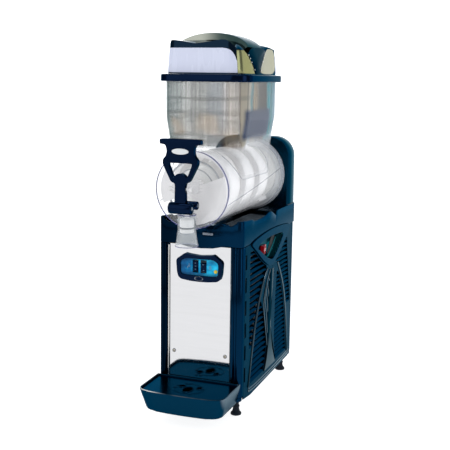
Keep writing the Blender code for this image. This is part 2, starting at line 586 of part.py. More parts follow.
def light_band(outer_inset, inner_inset, overrun=0.0):
    """U-shaped plan of the front light, round the canopy's front and both front corners."""
    sides_of_band = []
    for inset in (outer_inset, inner_inset):
        plan = rounded((-CANOPY_HALF + inset, deep(inset)), (CANOPY_HALF - inset, deep(CANOPY_BACK - inset)),
                       CANOPY_RADIUS - inset, 7)
        front = [p for p in plan if p[1] < deep(CANOPY_RADIUS + 0.0005)]
        front = sorted(front, key=lambda p: p[0])
        if overrun:
            end = deep(CANOPY_RADIUS + overrun)
            front = [(front[0][0], end), *front, (front[-1][0], end)]
        sides_of_band.append(front)
    outer, inner = sides_of_band
    return outer + inner[::-1]


def lid():
    """Gloss lid tray, the wavy canopy on it and its two light panels."""
    tray = prism("lid", rounded((-0.1070, deep(-0.010)), (0.1070, deep(0.270)), 0.040, 7), "Z", LID_LOW,
                 LID_HIGH, BLACK)
    under = prism("lid_under", rounded((-0.1005, deep(-0.0035)), (0.1005, deep(0.2625)), 0.038, 7), "Z",
                  LID_LOW - 0.01, HOPPER_TOP + 0.0015, BLACK)
    cut(tray, under)
    base, light_low, light_high = LID_HIGH + GAP, 0.7730, 0.8250
    side_view = to_world([(0.0, base), (0.0, 0.8380), (0.030, 0.8420), (0.095, 0.8420), (0.110, 0.8380),
                          (0.140, 0.8300), (0.165, 0.8320), (0.250, 0.8280), (0.256, 0.8200), (0.256, base)])
    canopy = prism("lid_canopy", side_view, "X", -0.095, 0.095, BLACK)
    plan = rounded((-CANOPY_HALF, deep(0.0)), (CANOPY_HALF, deep(CANOPY_BACK)), CANOPY_RADIUS, 7)
    keep = prism("canopy_plan", plan, "Z", 0.760, 0.880, BLACK)
    combine(canopy, [keep], "INTERSECT")
    arch = arc((0, 0.7360), 0.1240, 47, 133, 14)
    vault = prism("canopy_vault", [(-0.0830, 0.7900), (0.0830, 0.7900)] + arch, "Y", deep(0.075), deep(0.150),
                  BLACK)
    join(canopy, vault)
    front_cut = prism("canopy_front_cut", light_band(-0.008, 0.0037, 0.0004), "Z", light_low - GAP,
                      light_high + GAP, BLACK)
    rear_cut = box("canopy_rear_cut", (-0.060, deep(0.2525), light_low - 0.0003),
                   (0.060, deep(0.27), 0.8153), BLACK)
    room = prism("canopy_room", rounded((-0.0760, deep(0.0120)), (0.0760, deep(0.2440)), 0.028, 5), "Z", 0.755,
                 0.8200, BLACK)
    cut(canopy, front_cut, rear_cut, room)
    prism("lid_front_light", light_band(0.0, 0.0034), "Z", light_low, light_high, LIGHT)
    box("lid_rear_light", (-0.0590, deep(0.2530), light_low), (0.0590, deep(0.2558), 0.8150), LIGHT)
    box("lamp_board", (-0.0600, deep(0.0200), LID_HIGH + GAP), (0.0600, deep(0.0600), 0.7760), WHITE)
    return tray


# ---- tap ----------------------------------------------------------------------------------------
def tap():
    """Pull handle on a cross pin, with a fork under the piston's cross bar."""
    right = [(0, 0.4980), (0.0130, 0.4980), (0.0114, 0.5450), (0.0205, 0.5465), (0.0394, 0.5840),
             (0.0394, 0.5930), (0.0330, 0.6000), (0.0308, 0.6080), (0.0312, 0.6160), (0.0340, 0.6230),
             (0.0390, 0.6250), (0.0465, 0.6250), (0.0465, 0.6360), (0, 0.6365)]
    window = [(0.0270, 0.5840), (0.0250, 0.5860), (-0.0250, 0.5860), (-0.0270, 0.5840), (-0.0165, 0.5570),
              (-0.0140, 0.5560)] + arc((0, 0.5480), 0.0170, 150, 30, 6) + [(0.0140, 0.5560), (0.0165, 0.5570)]
    handle = prism("tap_handle", mirrored(right), "Y", deep(-0.1160), deep(-0.1040), BLACK, [window])
    bar = turned("handle_bar", [(0, -0.0255), (0.0110, -0.0262), (0.0125, -0.0245), (0.0125, 0.0245),
                                (0.0110, 0.0262), (0, 0.0255)], "X", (deep(-0.1110), 0.4915), BLACK, 24)
    join(handle, bar)
    for word, sign in (("left", -1), ("right", 1)):
        low, high = sorted((sign * 0.0090, sign * 0.0125))
        prong = prism(f"fork_{word}", to_world([(-0.1050, 0.4800), (-0.0740, 0.4792), (-0.0700, 0.4830),
                                                (-0.1050, 0.4846)]), "X", low, high, BLACK)
        join(handle, prong)
    pin_hole = turned("handle_hole", [(0, -0.02), (0.0033, -0.02), (0.0033, 0.02), (0, 0.02)], "X",
                      (deep(PIVOT_DEPTH), PIVOT_Z), BLACK, 14)
    cut(handle, pin_hole)
    pivot_at(handle, (0, deep(PIVOT_DEPTH), PIVOT_Z))
    badge = prism("handle_badge", [(0.0188 * math.cos(t), 0.6105 + 0.0062 * math.sin(t))
                                   for t in np.radians(np.arange(0, 360, 15))], "Y", deep(-0.1175),
                  deep(-0.1160 - GAP), BADGE)
    pin = [(0, -0.0205), (0.0030, -0.0205), (0.0030, 0.0195), (0.0050, 0.0195), (0.0050, 0.0218),
           (0, 0.0218)]
    turned("tap_pivot_pin", pin, "X", (deep(PIVOT_DEPTH), PIVOT_Z), WHITE, 14)
    piston = [(0, 0.4350), (0.0142, 0.4350), (0.0150, 0.4365), (0.0150, 0.4430), (0.0132, 0.4430),
              (0.0132, 0.4470), (0.0150, 0.4470), (0.0150, 0.4640), (0.0050, 0.4670), (0.0044, 0.4846),
              (0, 0.4846)]
    at_spout = (0, deep(SPOUT_DEPTH))
    turned("tap_piston", piston, "Z", at_spout, WHITE, 18)
    turned("piston_seal", [(0.0135, 0.4434), (0.0157, 0.4434), (0.0157, 0.4466), (0.0135, 0.4466)], "Z",
           at_spout, RUBBER, 18, ring=True)
    cross_bar = turned("piston_bar", [(0, -0.0245), (0.0078, -0.0250), (0.0090, -0.0235), (0.0090, 0.0235),
                                      (0.0078, 0.0250), (0, 0.0245)], "X", (deep(SPOUT_DEPTH), 0.4940), BLACK,
                       20)
    return badge, cross_bar


def tap_spring():
    """Return spring on the pivot pin, outside the right ear, as a short coil with one straight leg."""
    coil = bpy.data.curves.new("tap_spring", "CURVE")
    coil.dimensions = "3D"
    coil.bevel_depth = 0.0006
    coil.bevel_resolution = 1
    coil.use_fill_caps = True
    turns, per_turn, radius = 2.5, 10, 0.0046
    points = []
    for i in range(int(turns * per_turn) + 1):
        angle = 2 * math.pi * i / per_turn + math.pi / 2
        points.append((-0.0270 + 0.0060 * i / (turns * per_turn), deep(PIVOT_DEPTH) + radius * math.cos(angle),
                       PIVOT_Z + radius * math.sin(angle)))
    spline = coil.splines.new("POLY")
    spline.points.add(len(points) - 1)
    for place_at, point in zip(spline.points, points):
        place_at.co = (*point, 1)
    made = bpy.data.objects.new("tap_spring", coil)
    coil.materials.append(STEEL)
    bpy.context.scene.collection.objects.link(made)
    return made


# ---- drip tray ----------------------------------------------------------------------------------
def bowed(half_x, front, back, bow, radius, z):
    """A tray ring: square at the back, round front corners, front edge bowed out in the middle."""
    points = [(-half_x, deep(back))] + arc((-half_x + radius, deep(front) + radius), radius, 180, 260, 4)
    for i in range(1, 8):
        x = (-half_x + radius) * (1 - 2 * i / 8)
        points.append((x, deep(front) - bow * (1 - (x / half_x) ** 2)))
    points += arc((half_x - radius, deep(front) + radius), radius, -80, 0, 4) + [(half_x, deep(back))]
    return [(x, y, z) for x, y in points]


def drip_tray():
    """Deep tray in front of the machine, walls leaning in, with a hollow under the grid."""
    outer = loft("drip_tray", [bowed(0.0900, -0.1060, -0.0025, 0.006, 0.024, 0.0360),
                               bowed(0.0925, -0.1090, -0.0025, 0.006, 0.024, 0.0400),
                               bowed(0.1010, -0.1180, -0.0025, 0.007, 0.022, TRAY_RIM)], NAVY)
    inner = loft("tray_inner", [bowed(0.0870, -0.1030, -0.0060, 0.006, 0.021, 0.0400),
                                bowed(0.0935, -0.1118, -0.0060, 0.006, 0.020, 0.0770)], NAVY)
    seat = loft("tray_seat", [bowed(0.0962, -0.1135, -0.0055, 0.006, 0.020, 0.0765),
                              bowed(0.0968, -0.1140, -0.0055, 0.006, 0.020, 0.0900)], NAVY)
    cut(outer, inner, seat)
    holes = [circle((0.0010, deep(-0.0685)), 0.0140, 18)]
    for turn in np.radians((20, 100, 165)):
        centre = (0.001 + 0.0270 * math.cos(turn), deep(-0.0600) + 0.0270 * math.sin(turn))
        holes.append(circle(centre, 0.0075, 14))
    rim = [(x, y) for x, y, z in bowed(0.0958, -0.1131, -0.0059, 0.006, 0.020, 0)]
    prism("drip_grid", rim, "Z", 0.0770, 0.0815, NAVY, holes)
    return outer


for corner, corner_depth in (("front", 0.030), ("rear", 0.374)):
    for word, sign in (("left", -1), ("right", 1)):
        foot(f"foot_{corner}_{word}", sign * 0.0800, corner_depth)
post_pair("front", -0.001, -1)
post_pair("rear", BACK_DEPTH - 0.0005, 1)
chassis()
front_panel()
sides("panel_screw", panel_screw)
display()
rocker("mode_rocker", -0.0096, 0.0)
rocker("light_rocker", 0.0096, ROCKER_TILT)
sides("side_panel", side_panel)
sides("side_recess", recess)
power_rocker()
rear_panel()
power_inlet()
top_deck()
rear_housing()
drive()
auger()
cooling()
bowl()
lid()
tap()
tap_spring()
drip_tray()
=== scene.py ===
"""Looks of a slushie machine: shells, clear bowl, lit lid, tap and tray. Metres, +Z up."""
import json
import math

import bmesh
import bpy
import numpy as np
from mathutils import Matrix, Vector


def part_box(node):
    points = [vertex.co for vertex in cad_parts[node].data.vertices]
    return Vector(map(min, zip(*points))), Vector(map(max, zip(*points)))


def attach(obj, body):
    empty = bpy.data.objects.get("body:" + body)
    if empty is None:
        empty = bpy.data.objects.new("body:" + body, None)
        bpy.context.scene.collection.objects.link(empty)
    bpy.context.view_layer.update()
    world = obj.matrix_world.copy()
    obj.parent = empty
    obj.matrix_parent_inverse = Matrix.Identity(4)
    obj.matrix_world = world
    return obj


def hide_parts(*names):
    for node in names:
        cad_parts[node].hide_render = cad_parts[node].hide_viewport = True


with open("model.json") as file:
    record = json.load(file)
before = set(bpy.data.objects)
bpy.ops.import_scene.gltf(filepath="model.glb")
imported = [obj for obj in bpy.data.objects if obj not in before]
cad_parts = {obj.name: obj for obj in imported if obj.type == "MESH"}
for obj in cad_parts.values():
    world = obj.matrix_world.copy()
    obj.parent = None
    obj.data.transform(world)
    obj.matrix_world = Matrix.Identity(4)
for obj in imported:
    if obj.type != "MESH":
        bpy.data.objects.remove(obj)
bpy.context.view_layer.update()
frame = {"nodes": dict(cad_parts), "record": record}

# ---- places read from the frame ------------------------------------------------------------------------
PLATE_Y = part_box("front_panel")[0][1]            # the steel front plate
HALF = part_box("side_panel_right")[1][0]          # cabinet, half width
AXIS_Z = (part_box("drive_shaft")[0][2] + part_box("drive_shaft")[1][2]) / 2
LID_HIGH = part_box("lid")[1][2]
JOINTS = {joint["name"]: joint for joint in frame["record"]["behaviour"]["joints"]}
PIVOT = JOINTS["tap_lever"]["pos_m"]
SPOUT_Y = (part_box("tap_piston")[0][1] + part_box("tap_piston")[1][1]) / 2
GRAZE_TINT = (0.42, 0.495, 0.55)                 # what navy gloss mirrors at a low angle
SIDES = (("left", -1), ("right", 1))


def deep(depth):
    """World y of a depth behind the front plate."""
    return PLATE_Y + depth


# ---- shader maths --------------------------------------------------------------------------------------
class Field:
    """A shader socket that does arithmetic; every operator adds a Math node."""

    def __init__(self, paint, socket):
        self.paint, self.socket = paint, socket

    def maths(self, operation, *others):
        return self.paint.node("ShaderNodeMath", {"operation": operation}, dict(enumerate((self, *others))))

    def __add__(self, other): return self.maths("ADD", other)
    def __radd__(self, other): return self.maths("ADD", other)
    def __mul__(self, other): return self.maths("MULTIPLY", other)
    def __rmul__(self, other): return self.maths("MULTIPLY", other)
    def __sub__(self, other): return self.maths("SUBTRACT", other)
    def __truediv__(self, other): return self.maths("DIVIDE", other)

    def __rsub__(self, other):
        return self.paint.node("ShaderNodeMath", {"operation": "SUBTRACT"}, {0: other, 1: self})

    def power(self, exponent): return self.maths("POWER", exponent)
    def floor_at(self, low): return self.maths("MAXIMUM", low)
    def cap_at(self, high): return self.maths("MINIMUM", high)
    def size(self): return self.maths("ABSOLUTE")

    def ramp(self, start, end, low=0.0, high=1.0):
        """Smooth rise from low at start to high at end."""
        return self.paint.node("ShaderNodeMapRange", {"interpolation_type": "SMOOTHSTEP"},
                               {0: self, 1: start, 2: end, 3: low, 4: high})


class Paint:
    """One material's node tree, with short calls for the nodes it needs."""

    def __init__(self, name):
        self.material = bpy.data.materials.new(name)
        self.material.use_nodes = True
        self.tree = self.material.node_tree
        self.shader = self.tree.nodes["Principled BSDF"]

    def plug(self, socket, value):
        if isinstance(value, Field):
            self.tree.links.new(value.socket, socket)
        elif isinstance(value, tuple) and len(value) == 3 and socket.type == "RGBA":
            socket.default_value = (*value, 1.0)
        else:
            socket.default_value = value

    def node(self, kind, settings=None, inputs=None, output=0):
        """A node of any kind: its settings first, then its sockets' values or links."""
        made = self.tree.nodes.new(kind)
        for key, value in (settings or {}).items():
            if key == "stops":
                ramp = made.color_ramp.elements
                while len(ramp) < len(value):
                    ramp.new(0.5)
                for stop, (position, colour) in zip(ramp, value):
                    stop.position, stop.color = position, (*colour, 1.0)
            else:
                setattr(made, key, value)
        for key, value in (inputs or {}).items():
            self.plug(made.inputs[key], value)
        return Field(self, made.outputs[output])

    def place(self):
        return self.node("ShaderNodeTexCoord", output=3)

    def axes(self):
        """The x, y and z of the point in the object's own space."""
        split = self.tree.nodes.new("ShaderNodeSeparateXYZ")
        self.plug(split.inputs[0], self.place())
        return [Field(self, split.outputs[i]) for i in range(3)]

    def noise(self, scale, stretch=(1, 1, 1), detail=3.0, rough=0.5):
        where = self.node("ShaderNodeMapping", {}, {"Vector": self.place(), "Scale": stretch})
        return self.node("ShaderNodeTexNoise", {}, {"Vector": where, "Scale": scale, "Detail": detail,
                                                    "Roughness": rough})

    def mix(self, factor, first, second):
        """Colour between two colours."""
        return self.node("ShaderNodeMix", {"data_type": "RGBA"}, {0: factor, 6: first, 7: second}, output=2)

    def bump(self, height, distance, strength=1.0):
        return self.node("ShaderNodeBump", {}, {"Height": height, "Distance": distance, "Strength": strength})

    def preset(self, **sockets):
        """Constants of the Principled shader by socket name, with underscores for blanks."""
        for key, value in sockets.items():
            self.shader.inputs[key.replace("_", " ")].default_value = value

    def finish(self, **sockets):
        """Values or fields of the Principled shader, named in the same way; gives the material."""
        for key, value in sockets.items():
            self.plug(self.shader.inputs[key.replace("_", " ")], value)
        return self.material


def share_of(colour, share):
    """A colour with each channel scaled, at most 1."""
    return tuple(min(1.0, c * share) for c in colour)


def moulded(name, colour, gloss, grain=0.00002, glow=0.0):
    """Moulded plastic: slow gloss variation, faint sink waves and fine grain; glow adds a painted glow, an
    emission that brightens it though it is no lamp.
    """
    paint = Paint(name)
    cloud = paint.noise(9.0, detail=4.0)
    fine = paint.noise(900.0, detail=2.0)
    wave = paint.noise(28.0, detail=1.0)
    shade = paint.mix(cloud, share_of(colour, 0.86), share_of(colour, 1.12))
    rough = cloud * (gloss * 0.35) + fine * (gloss * 0.15) + gloss * 0.72
    height = fine * 0.25 + wave * 1.0
    # painted glow: emission in the plastic's own colour
    paint.preset(Emission_Strength=glow)
    return paint.finish(Base_Color=shade, Roughness=rough, Emission_Color=shade,
                        Normal=paint.bump(height, grain))


def mirror_tinted(paint, tint=GRAZE_TINT):
    """Makes a gloss skin mirror the room in its pigment's own colour, with a cool tint at grazing angles."""
    paint.preset(Metallic=1.0, Specular_IOR_Level=0.25, Specular_Tint=(*tint, 1.0))


def lacquered(name, colour, gloss, wave=0.00005, left=1.0):
    """Deep gloss plastic; its colour may carry painted shade, darker towards the machine's left side down to
    the share left of it.
    """
    paint = Paint(name)
    cloud = paint.noise(7.0, detail=4.0)
    fine = paint.noise(900.0, detail=2.0)
    sink = paint.noise(26.0, detail=1.0)
    shade = paint.mix(cloud, share_of(colour, 0.80), share_of(colour, 1.18))
    # painted shade: the colour darkens towards the machine's left side
    if left < 1.0:
        across = paint.axes()[0].ramp(-0.100, 0.098)
        shade = paint.mix(across, share_of(colour, left), shade)
    mirror_tinted(paint)
    rough = cloud * (gloss * 0.4) + fine * (gloss * 0.1) + gloss * 0.7
    return paint.finish(Base_Color=shade, Roughness=rough, Normal=paint.bump(fine * 0.15 + sink, wave))


def brushed(name, colour, roughness, along="X", line=0.000012, contrast=0.06):
    """Brushed sheet metal: hairlines run along one axis and change colour, gloss and height a little."""
    paint = Paint(name)
    fine_stretch = {"X": (1.2, 90, 90), "Y": (90, 1.2, 90), "Z": (90, 90, 1.2)}[along]
    broad_stretch = {"X": (0.6, 14, 14), "Y": (14, 0.6, 14), "Z": (14, 14, 0.6)}[along]
    hair = paint.noise(22.0, fine_stretch, detail=4.0, rough=0.65)
    broad = paint.noise(9.0, broad_stretch, detail=3.0)
    shade = paint.mix(hair * 0.6 + broad * 0.4, share_of(colour, 1 - contrast),
                      share_of(colour, 1 + contrast))
    rough = hair * (roughness * 0.5) + broad * (roughness * 0.3) + roughness * 0.6
    return paint.finish(Base_Color=shade, Metallic=1.0, Roughness=rough,
                        Normal=paint.bump(hair, line, 0.6))


def gloss_cover(paint, shade, cover, streak, level=0.5):
    """Closes a clear plastic: its thickness of tint is the share of light it stops; edges on stop more."""
    facing = paint.node("ShaderNodeLayerWeight", {}, {"Blend": 0.35}, output=1)
    paint.preset(IOR=1.22, Specular_IOR_Level=level, Coat_Weight=0.10, Coat_Roughness=0.03)
    cover = cover + facing.power(2.5) * 0.30
    return paint.finish(Base_Color=shade, Alpha=cover.cap_at(0.85), Roughness=streak * 0.05 + 0.08,
                        Normal=paint.bump(paint.noise(16.0, detail=1.0), 0.00012, 0.5))


def barrel_plastic():
    """Clear plastic round the drum: nearly colourless, with faint drawn streaks."""
    paint = Paint("clear_barrel_plastic")
    streak = paint.noise(5.0, (7.0, 0.5, 7.0), detail=2.0)
    return gloss_cover(paint, paint.mix(streak, (0.84, 0.85, 0.88), (0.88, 0.89, 0.92)),
                       streak * 0.02 + 0.022, streak)


def hopper_plastic():
    """Clear hopper plastic with painted reflections: the greys, sands and blues of a room are painted into
    its colour in soft upright patches.
    """
    paint = Paint("clear_hopper_painted_reflections")
    x, y, z = paint.axes()
    dark_reflection_streak = paint.noise(6.0, (26.0, 26.0, 0.15), detail=2.0)
    shelf_reflection = paint.noise(7.0, (0.6, 0.6, 9.0), detail=2.0)
    streak = paint.noise(5.0, (7.0, 7.0, 0.25), detail=2.0)
    patch = paint.noise(9.0, (2.2, 2.2, 1.6), detail=2.0)
    front_wall, side_wall = y.ramp(deep(0.050), deep(0.030)), x.ramp(0.081, 0.089)
    height = (z.ramp(0.604, 0.640) + front_wall * z.ramp(0.590, 0.628)).cap_at(1.0)

    def reflection_tones(stops, along):
        """Colour ramp of painted room reflections; each tone is darkened by the same share."""
        deeper = [(at, tuple(c ** 1.5 * 1.25 for c in tone)) for at, tone in stops]
        return paint.node("ShaderNodeValToRGB", {"stops": deeper}, {0: along})

    def area(across, start, end, low, high, soft=0.010):
        """Soft-edged rectangle on a wall: 1 inside, 0 outside."""
        wide = across.ramp(start, start + soft) * across.ramp(end, end - soft)
        return wide * z.ramp(low, low + soft) * z.ramp(high, high - soft)

    # painted reflections of a room: upright streaks of grey, sandy and blue tones
    tone = reflection_tones([(0.34, (0.050, 0.115, 0.125)), (0.43, (0.125, 0.150, 0.145)), (0.50, (0.215, 0.210, 0.185)),
                  (0.57, (0.130, 0.110, 0.075)), (0.66, (0.060, 0.095, 0.105))], streak * 0.65 + patch * 0.35)
    drift = patch * 0.10 - 0.05
    front = reflection_tones([(0.0, (0.08, 0.19, 0.19)), (0.10, (0.13, 0.20, 0.19)), (0.22, (0.27, 0.28, 0.26)),
                   (0.58, (0.25, 0.26, 0.24)), (0.66, (0.09, 0.14, 0.18)), (0.79, (0.15, 0.20, 0.23)),
                   (0.86, (0.11, 0.06, 0.05)), (0.91, (0.34, 0.28, 0.21)), (1.0, (0.30, 0.25, 0.20))],
                  x.ramp(-0.0975, 0.0975) + drift)
    side = reflection_tones([(0.0, (0.46, 0.43, 0.37)), (0.07, (0.44, 0.43, 0.39)), (0.12, (0.07, 0.28, 0.31)),
                  (0.18, (0.37, 0.31, 0.22)), (0.27, (0.30, 0.27, 0.22)), (0.36, (0.15, 0.16, 0.15)),
                  (0.46, (0.10, 0.09, 0.08)), (0.64, (0.11, 0.10, 0.09)), (0.71, (0.04, 0.31, 0.35)),
                  (0.86, (0.06, 0.31, 0.35)), (0.94, (0.30, 0.42, 0.48)), (1.0, (0.34, 0.44, 0.50))],
                 y.ramp(deep(0.0), deep(0.256)) + drift)
    # the front and side walls get painted reflections of their own
    tone = paint.mix(front_wall * 0.90, tone, front)
    tone = paint.mix(side_wall * 0.90, tone, side)
    # dark upright streaks and pale level bands: painted reflections
    tone = paint.mix(dark_reflection_streak.ramp(0.52, 0.66) * 0.55, tone, (0.030, 0.034, 0.040))
    tone = paint.mix(shelf_reflection.ramp(0.55, 0.68) * 0.45, tone, (0.150, 0.150, 0.135))
    # a sandy patch on the front wall and a dark blue patch on the side wall: painted reflections
    sand_reflection = front_wall * area(x, -0.080, 0.092, 0.632, 0.690, 0.014)
    slate_reflection = side_wall * area(y, deep(0.014), deep(0.190), 0.622, 0.700, 0.014)
    for share, colour in ((sand_reflection * patch.ramp(0.42, 0.60) * 0.80, (0.260, 0.150, 0.045)),
                          (slate_reflection * 0.92, (0.016, 0.036, 0.092))):
        tone = paint.mix(share.cap_at(1.0), tone, colour)
    shade = paint.mix(height, (0.86, 0.87, 0.90), tone)
    dense = streak * 0.12 + patch * 0.10 + front_wall * 0.32 + side_wall * 0.55 + slate_reflection * 0.20 + 0.05
    dense = dense + shelf_reflection.ramp(0.55, 0.68) * 0.12 - dark_reflection_streak.ramp(0.36, 0.50, 1.0, 0.0) * 0.10
    return gloss_cover(paint, shade, height * dense + 0.030, streak, 0.18)


def diffuser():
    """Milky light panel, lit from behind: brighter at the middle of its height, with faint mould lines."""
    paint = Paint("lamp_diffuser_plastic")
    x, y, z = paint.axes()
    glow = (z - (LID_HIGH + 0.030)).size().ramp(0.0, 0.034, 1.0, 0.80)
    cloud = paint.noise(14.0, (3.0, 3.0, 0.6), detail=2.0)
    tone = paint.mix(cloud, (0.37, 0.39, 0.48), (0.44, 0.46, 0.55))
    lit = paint.mix(glow, (0.11, 0.115, 0.15), (0.17, 0.18, 0.235))
    paint.preset(Emission_Strength=1.0)
    return paint.finish(Base_Color=tone, Roughness=cloud * 0.1 + 0.22, Emission_Color=lit,
                        Normal=paint.bump(paint.noise(40.0), 0.00004))


def display_glow():
    """Blue backlit plate: dark towards the left, cyan patches round the keys, darker along the edges."""
    paint = Paint("blue_display_plate")
    x, y, z = paint.axes()
    across = x.ramp(-0.045, 0.020)
    patch = paint.noise(60.0, (1.0, 1.0, 1.6), detail=1.0)
    edge = (z - 0.3450).size().ramp(0.010, 0.019, 1.0, 0.45)
    mixer = (across * 0.45 + patch * 0.75 - 0.12).floor_at(0.0).cap_at(1.0)
    tone = paint.node("ShaderNodeValToRGB",
                      {"stops": [(0.0, (0.000, 0.014, 0.050)), (0.35, (0.000, 0.060, 0.16)),
                                 (0.62, (0.001, 0.15, 0.29)), (0.92, (0.01, 0.33, 0.52))]}, {0: mixer})
    glow = paint.mix(edge, (0.0, 0.01, 0.03), tone)
    paint.preset(Emission_Strength=0.72, Specular_IOR_Level=0.12)
    return paint.finish(Base_Color=glow, Emission_Color=glow, Roughness=0.16 + patch * 0.05)


def lens(name, colour, glow, centre, reach):
    """Tinted lens with a warm hot spot at its middle."""
    paint = Paint(name)
    away = paint.node("ShaderNodeVectorMath", {"operation": "DISTANCE"}, {0: paint.place(), 1: centre},
                      output=1)
    spot = away.ramp(0.0, reach, 1.0, 0.0)
    cloud = paint.noise(120.0)
    shade = paint.mix(spot, colour, share_of(colour, 1.4))
    lit = paint.mix(spot, share_of(glow, 0.25), glow)
    paint.preset(Emission_Strength=1.0, Coat_Weight=0.2)
    return paint.finish(Base_Color=shade, Emission_Color=lit, Roughness=0.14 + cloud * 0.06)


def rubber_finish(name, colour):
    """Matt rubber with dusty patches and a fine grain."""
    paint = Paint(name)
    speck = paint.noise(700.0, detail=3.0)
    dust = paint.noise(30.0, detail=4.0)
    shade = paint.mix(dust, colour, tuple(c * 1.8 + 0.002 for c in colour))
    paint.preset(Specular_IOR_Level=0.2)
    return paint.finish(Base_Color=shade, Roughness=0.62 + dust * 0.2, Normal=paint.bump(speck, 0.00006))


def drum_steel_with_painted_glow():
    """Drum steel with turning rings round its axis, a breath of frost in its tone, and a painted glow that
    brightens it though it is no lamp.
    """
    paint = Paint("drum_steel")
    rings = paint.noise(30.0, (0.3, 60.0, 0.3), detail=3.0)
    frost = paint.noise(45.0, detail=5.0, rough=0.6)
    shade = paint.mix(frost, (0.62, 0.62, 0.61), (0.78, 0.78, 0.77))
    # painted glow: the drum's emission lightens it as if it were better lit
    paint.preset(Emission_Strength=0.15)
    return paint.finish(Base_Color=shade, Metallic=0.12, Roughness=rings * 0.15 + frost * 0.2 + 0.25,
                        Emission_Color=shade, Normal=paint.bump(rings, 0.00002))


def painted_light_skin(name, dark, light, gloss, axis, start, end, graze=(0.44, 0.51, 0.55)):
    """Gloss skin with painted light: its colour passes from dark to light along one axis, a painted
    shade-to-highlight gradient.
    """
    paint = Paint(name)
    along = paint.axes()["XYZ".index(axis)]
    cloud = paint.noise(16.0, (1.0, 1.0, 1.0), detail=3.0)
    share = (along.ramp(start, end) * (cloud * 0.5 + 0.75)).cap_at(1.0)
    shade = paint.mix(share, dark, light)
    mirror_tinted(paint, graze)
    return paint.finish(Base_Color=shade, Roughness=cloud * 0.08 + gloss, Normal=paint.bump(cloud, 0.00004))


def trim(name, colour, roughness, metallic=0.0, emission=0.0):
    """Small fittings: one colour with fine wear in shade and gloss."""
    paint = Paint(name)
    wear = paint.noise(140.0, detail=3.0)
    shade = paint.mix(wear, share_of(colour, 0.85), share_of(colour, 1.1))
    paint.preset(Metallic=metallic)
    if emission:
        paint.preset(Emission_Strength=emission, Emission_Color=(*colour, 1.0))
    return paint.finish(Base_Color=shade, Roughness=wear * roughness * 0.4 + roughness * 0.8)


def rim_tint(name, colour, alpha):
    """Edge-lit clear plastic: a pale tint that thickens with a slow noise along the edge."""
    paint = Paint(name)
    drift = paint.noise(18.0, detail=2.0)
    shade = paint.mix(drift, share_of(colour, 0.8), colour)
    return paint.finish(Base_Color=shade, Alpha=drift * (alpha * 0.5) + alpha * 0.75,
                        Roughness=drift * 0.05 + 0.06)


# one finish for each slot of the record
FINISH = {
    "navy_plastic": lacquered("navy_plastic_gloss", (0.0010, 0.0235, 0.0520), 0.22),
    "black_plastic": lacquered("black_plastic_gloss", (0.0030, 0.0085, 0.0260), 0.14, 0.00003),
    "brushed_steel": brushed("brushed_front_steel", (0.560, 0.558, 0.568), 0.05, contrast=0.09),
    "zinc_sheet": brushed("zinc_plated_sheet", (0.50, 0.51, 0.52), 0.45, "Z"),
    "clear_bowl": barrel_plastic(),
    # glow 0.24 is painted light: it brightens the auger, pin, piston and marks as if more light reached them
    "white_plastic": moulded("white_auger_plastic", (0.64, 0.63, 0.635), 0.32, 0.00003, 0.24),
    "lamp_diffuser": diffuser(),
    "rubber": rubber_finish("foot_rubber", (0.003, 0.006, 0.011)),
    "silicone": rubber_finish("silicone_seal", (0.55, 0.56, 0.57)),
    "blue_display": display_glow(),
    "amber_lens": lens("amber_lamp_lens", (0.50, 0.36, 0.02), (0.42, 0.32, 0.02),
                       tuple((a + b) / 2 for a, b in zip(*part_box("indicator_lamp"))), 0.006),
    "red_lens": lens("red_rocker_lens", (0.26, 0.002, 0.005), (0.16, 0.002, 0.005),
                     tuple(JOINTS["power_switch"]["pos_m"]), 0.030),
    "machine_paint": moulded("machine_enamel", (0.015, 0.015, 0.017), 0.35, 0.00006),
    "copper": brushed("drawn_copper", (0.72, 0.36, 0.20), 0.3, "Z"),
    "silver_badge": moulded("satin_silver", (0.66, 0.67, 0.67), 0.3, 0.00002),
    "bright_steel": drum_steel_with_painted_glow(),
}
BASE_SLOT = {}   # finish of new pieces -> slot


def variant(slot, name, material):
    """A finish of its own for new pieces, and the slot that it belongs to."""
    FINISH[name], BASE_SLOT[name] = material, slot


# navy_front carries painted shade, darker towards the left side
variant("navy_plastic", "navy_front",
        lacquered("navy_front_gloss", (0.0012, 0.0150, 0.0400), 0.16, left=0.30))
variant("navy_plastic", "navy_side", lacquered("navy_side_gloss", (0.0008, 0.0140, 0.0300), 0.20))
variant("black_plastic", "canopy_gloss",
        lacquered("canopy_black_gloss", (0.0060, 0.0150, 0.0290), 0.09, 0.00003))
# dark_void: painted shade for openings and slots whose inside is in shadow; also the dark marks on the
# display
variant("black_plastic", "dark_void", trim("unlit_inside", (0.0012, 0.0028, 0.0050), 0.7))
variant("clear_bowl", "clear_hopper", hopper_plastic())
variant("clear_bowl", "spout_frost", rim_tint("spout_frost", (0.80, 0.84, 0.86), 0.20))
# edge_violet: the violet along the clear disc rim and spout lips is painted light on the clear edges
variant("clear_bowl", "edge_violet", rim_tint("clear_edge_violet", (0.070, 0.080, 0.300), 0.60))
variant("clear_bowl", "edge_clear", rim_tint("clear_edge_grey", (0.42, 0.45, 0.52), 0.40))
for slot, name, *look in (
        ("lamp_diffuser", "stud_white", (0.70, 0.72, 0.72), 0.3),
        ("brushed_steel", "screw_satin", (0.55, 0.50, 0.42), 0.35),
        ("silver_badge", "dim_chrome", (0.16, 0.18, 0.21), 0.25, 0.8),
        ("blue_display", "pale_ink", (0.10, 0.19, 0.27), 0.5),
        ("white_plastic", "ring_grey", (0.42, 0.43, 0.45), 0.4)):
    variant(slot, name, trim(name, *look))
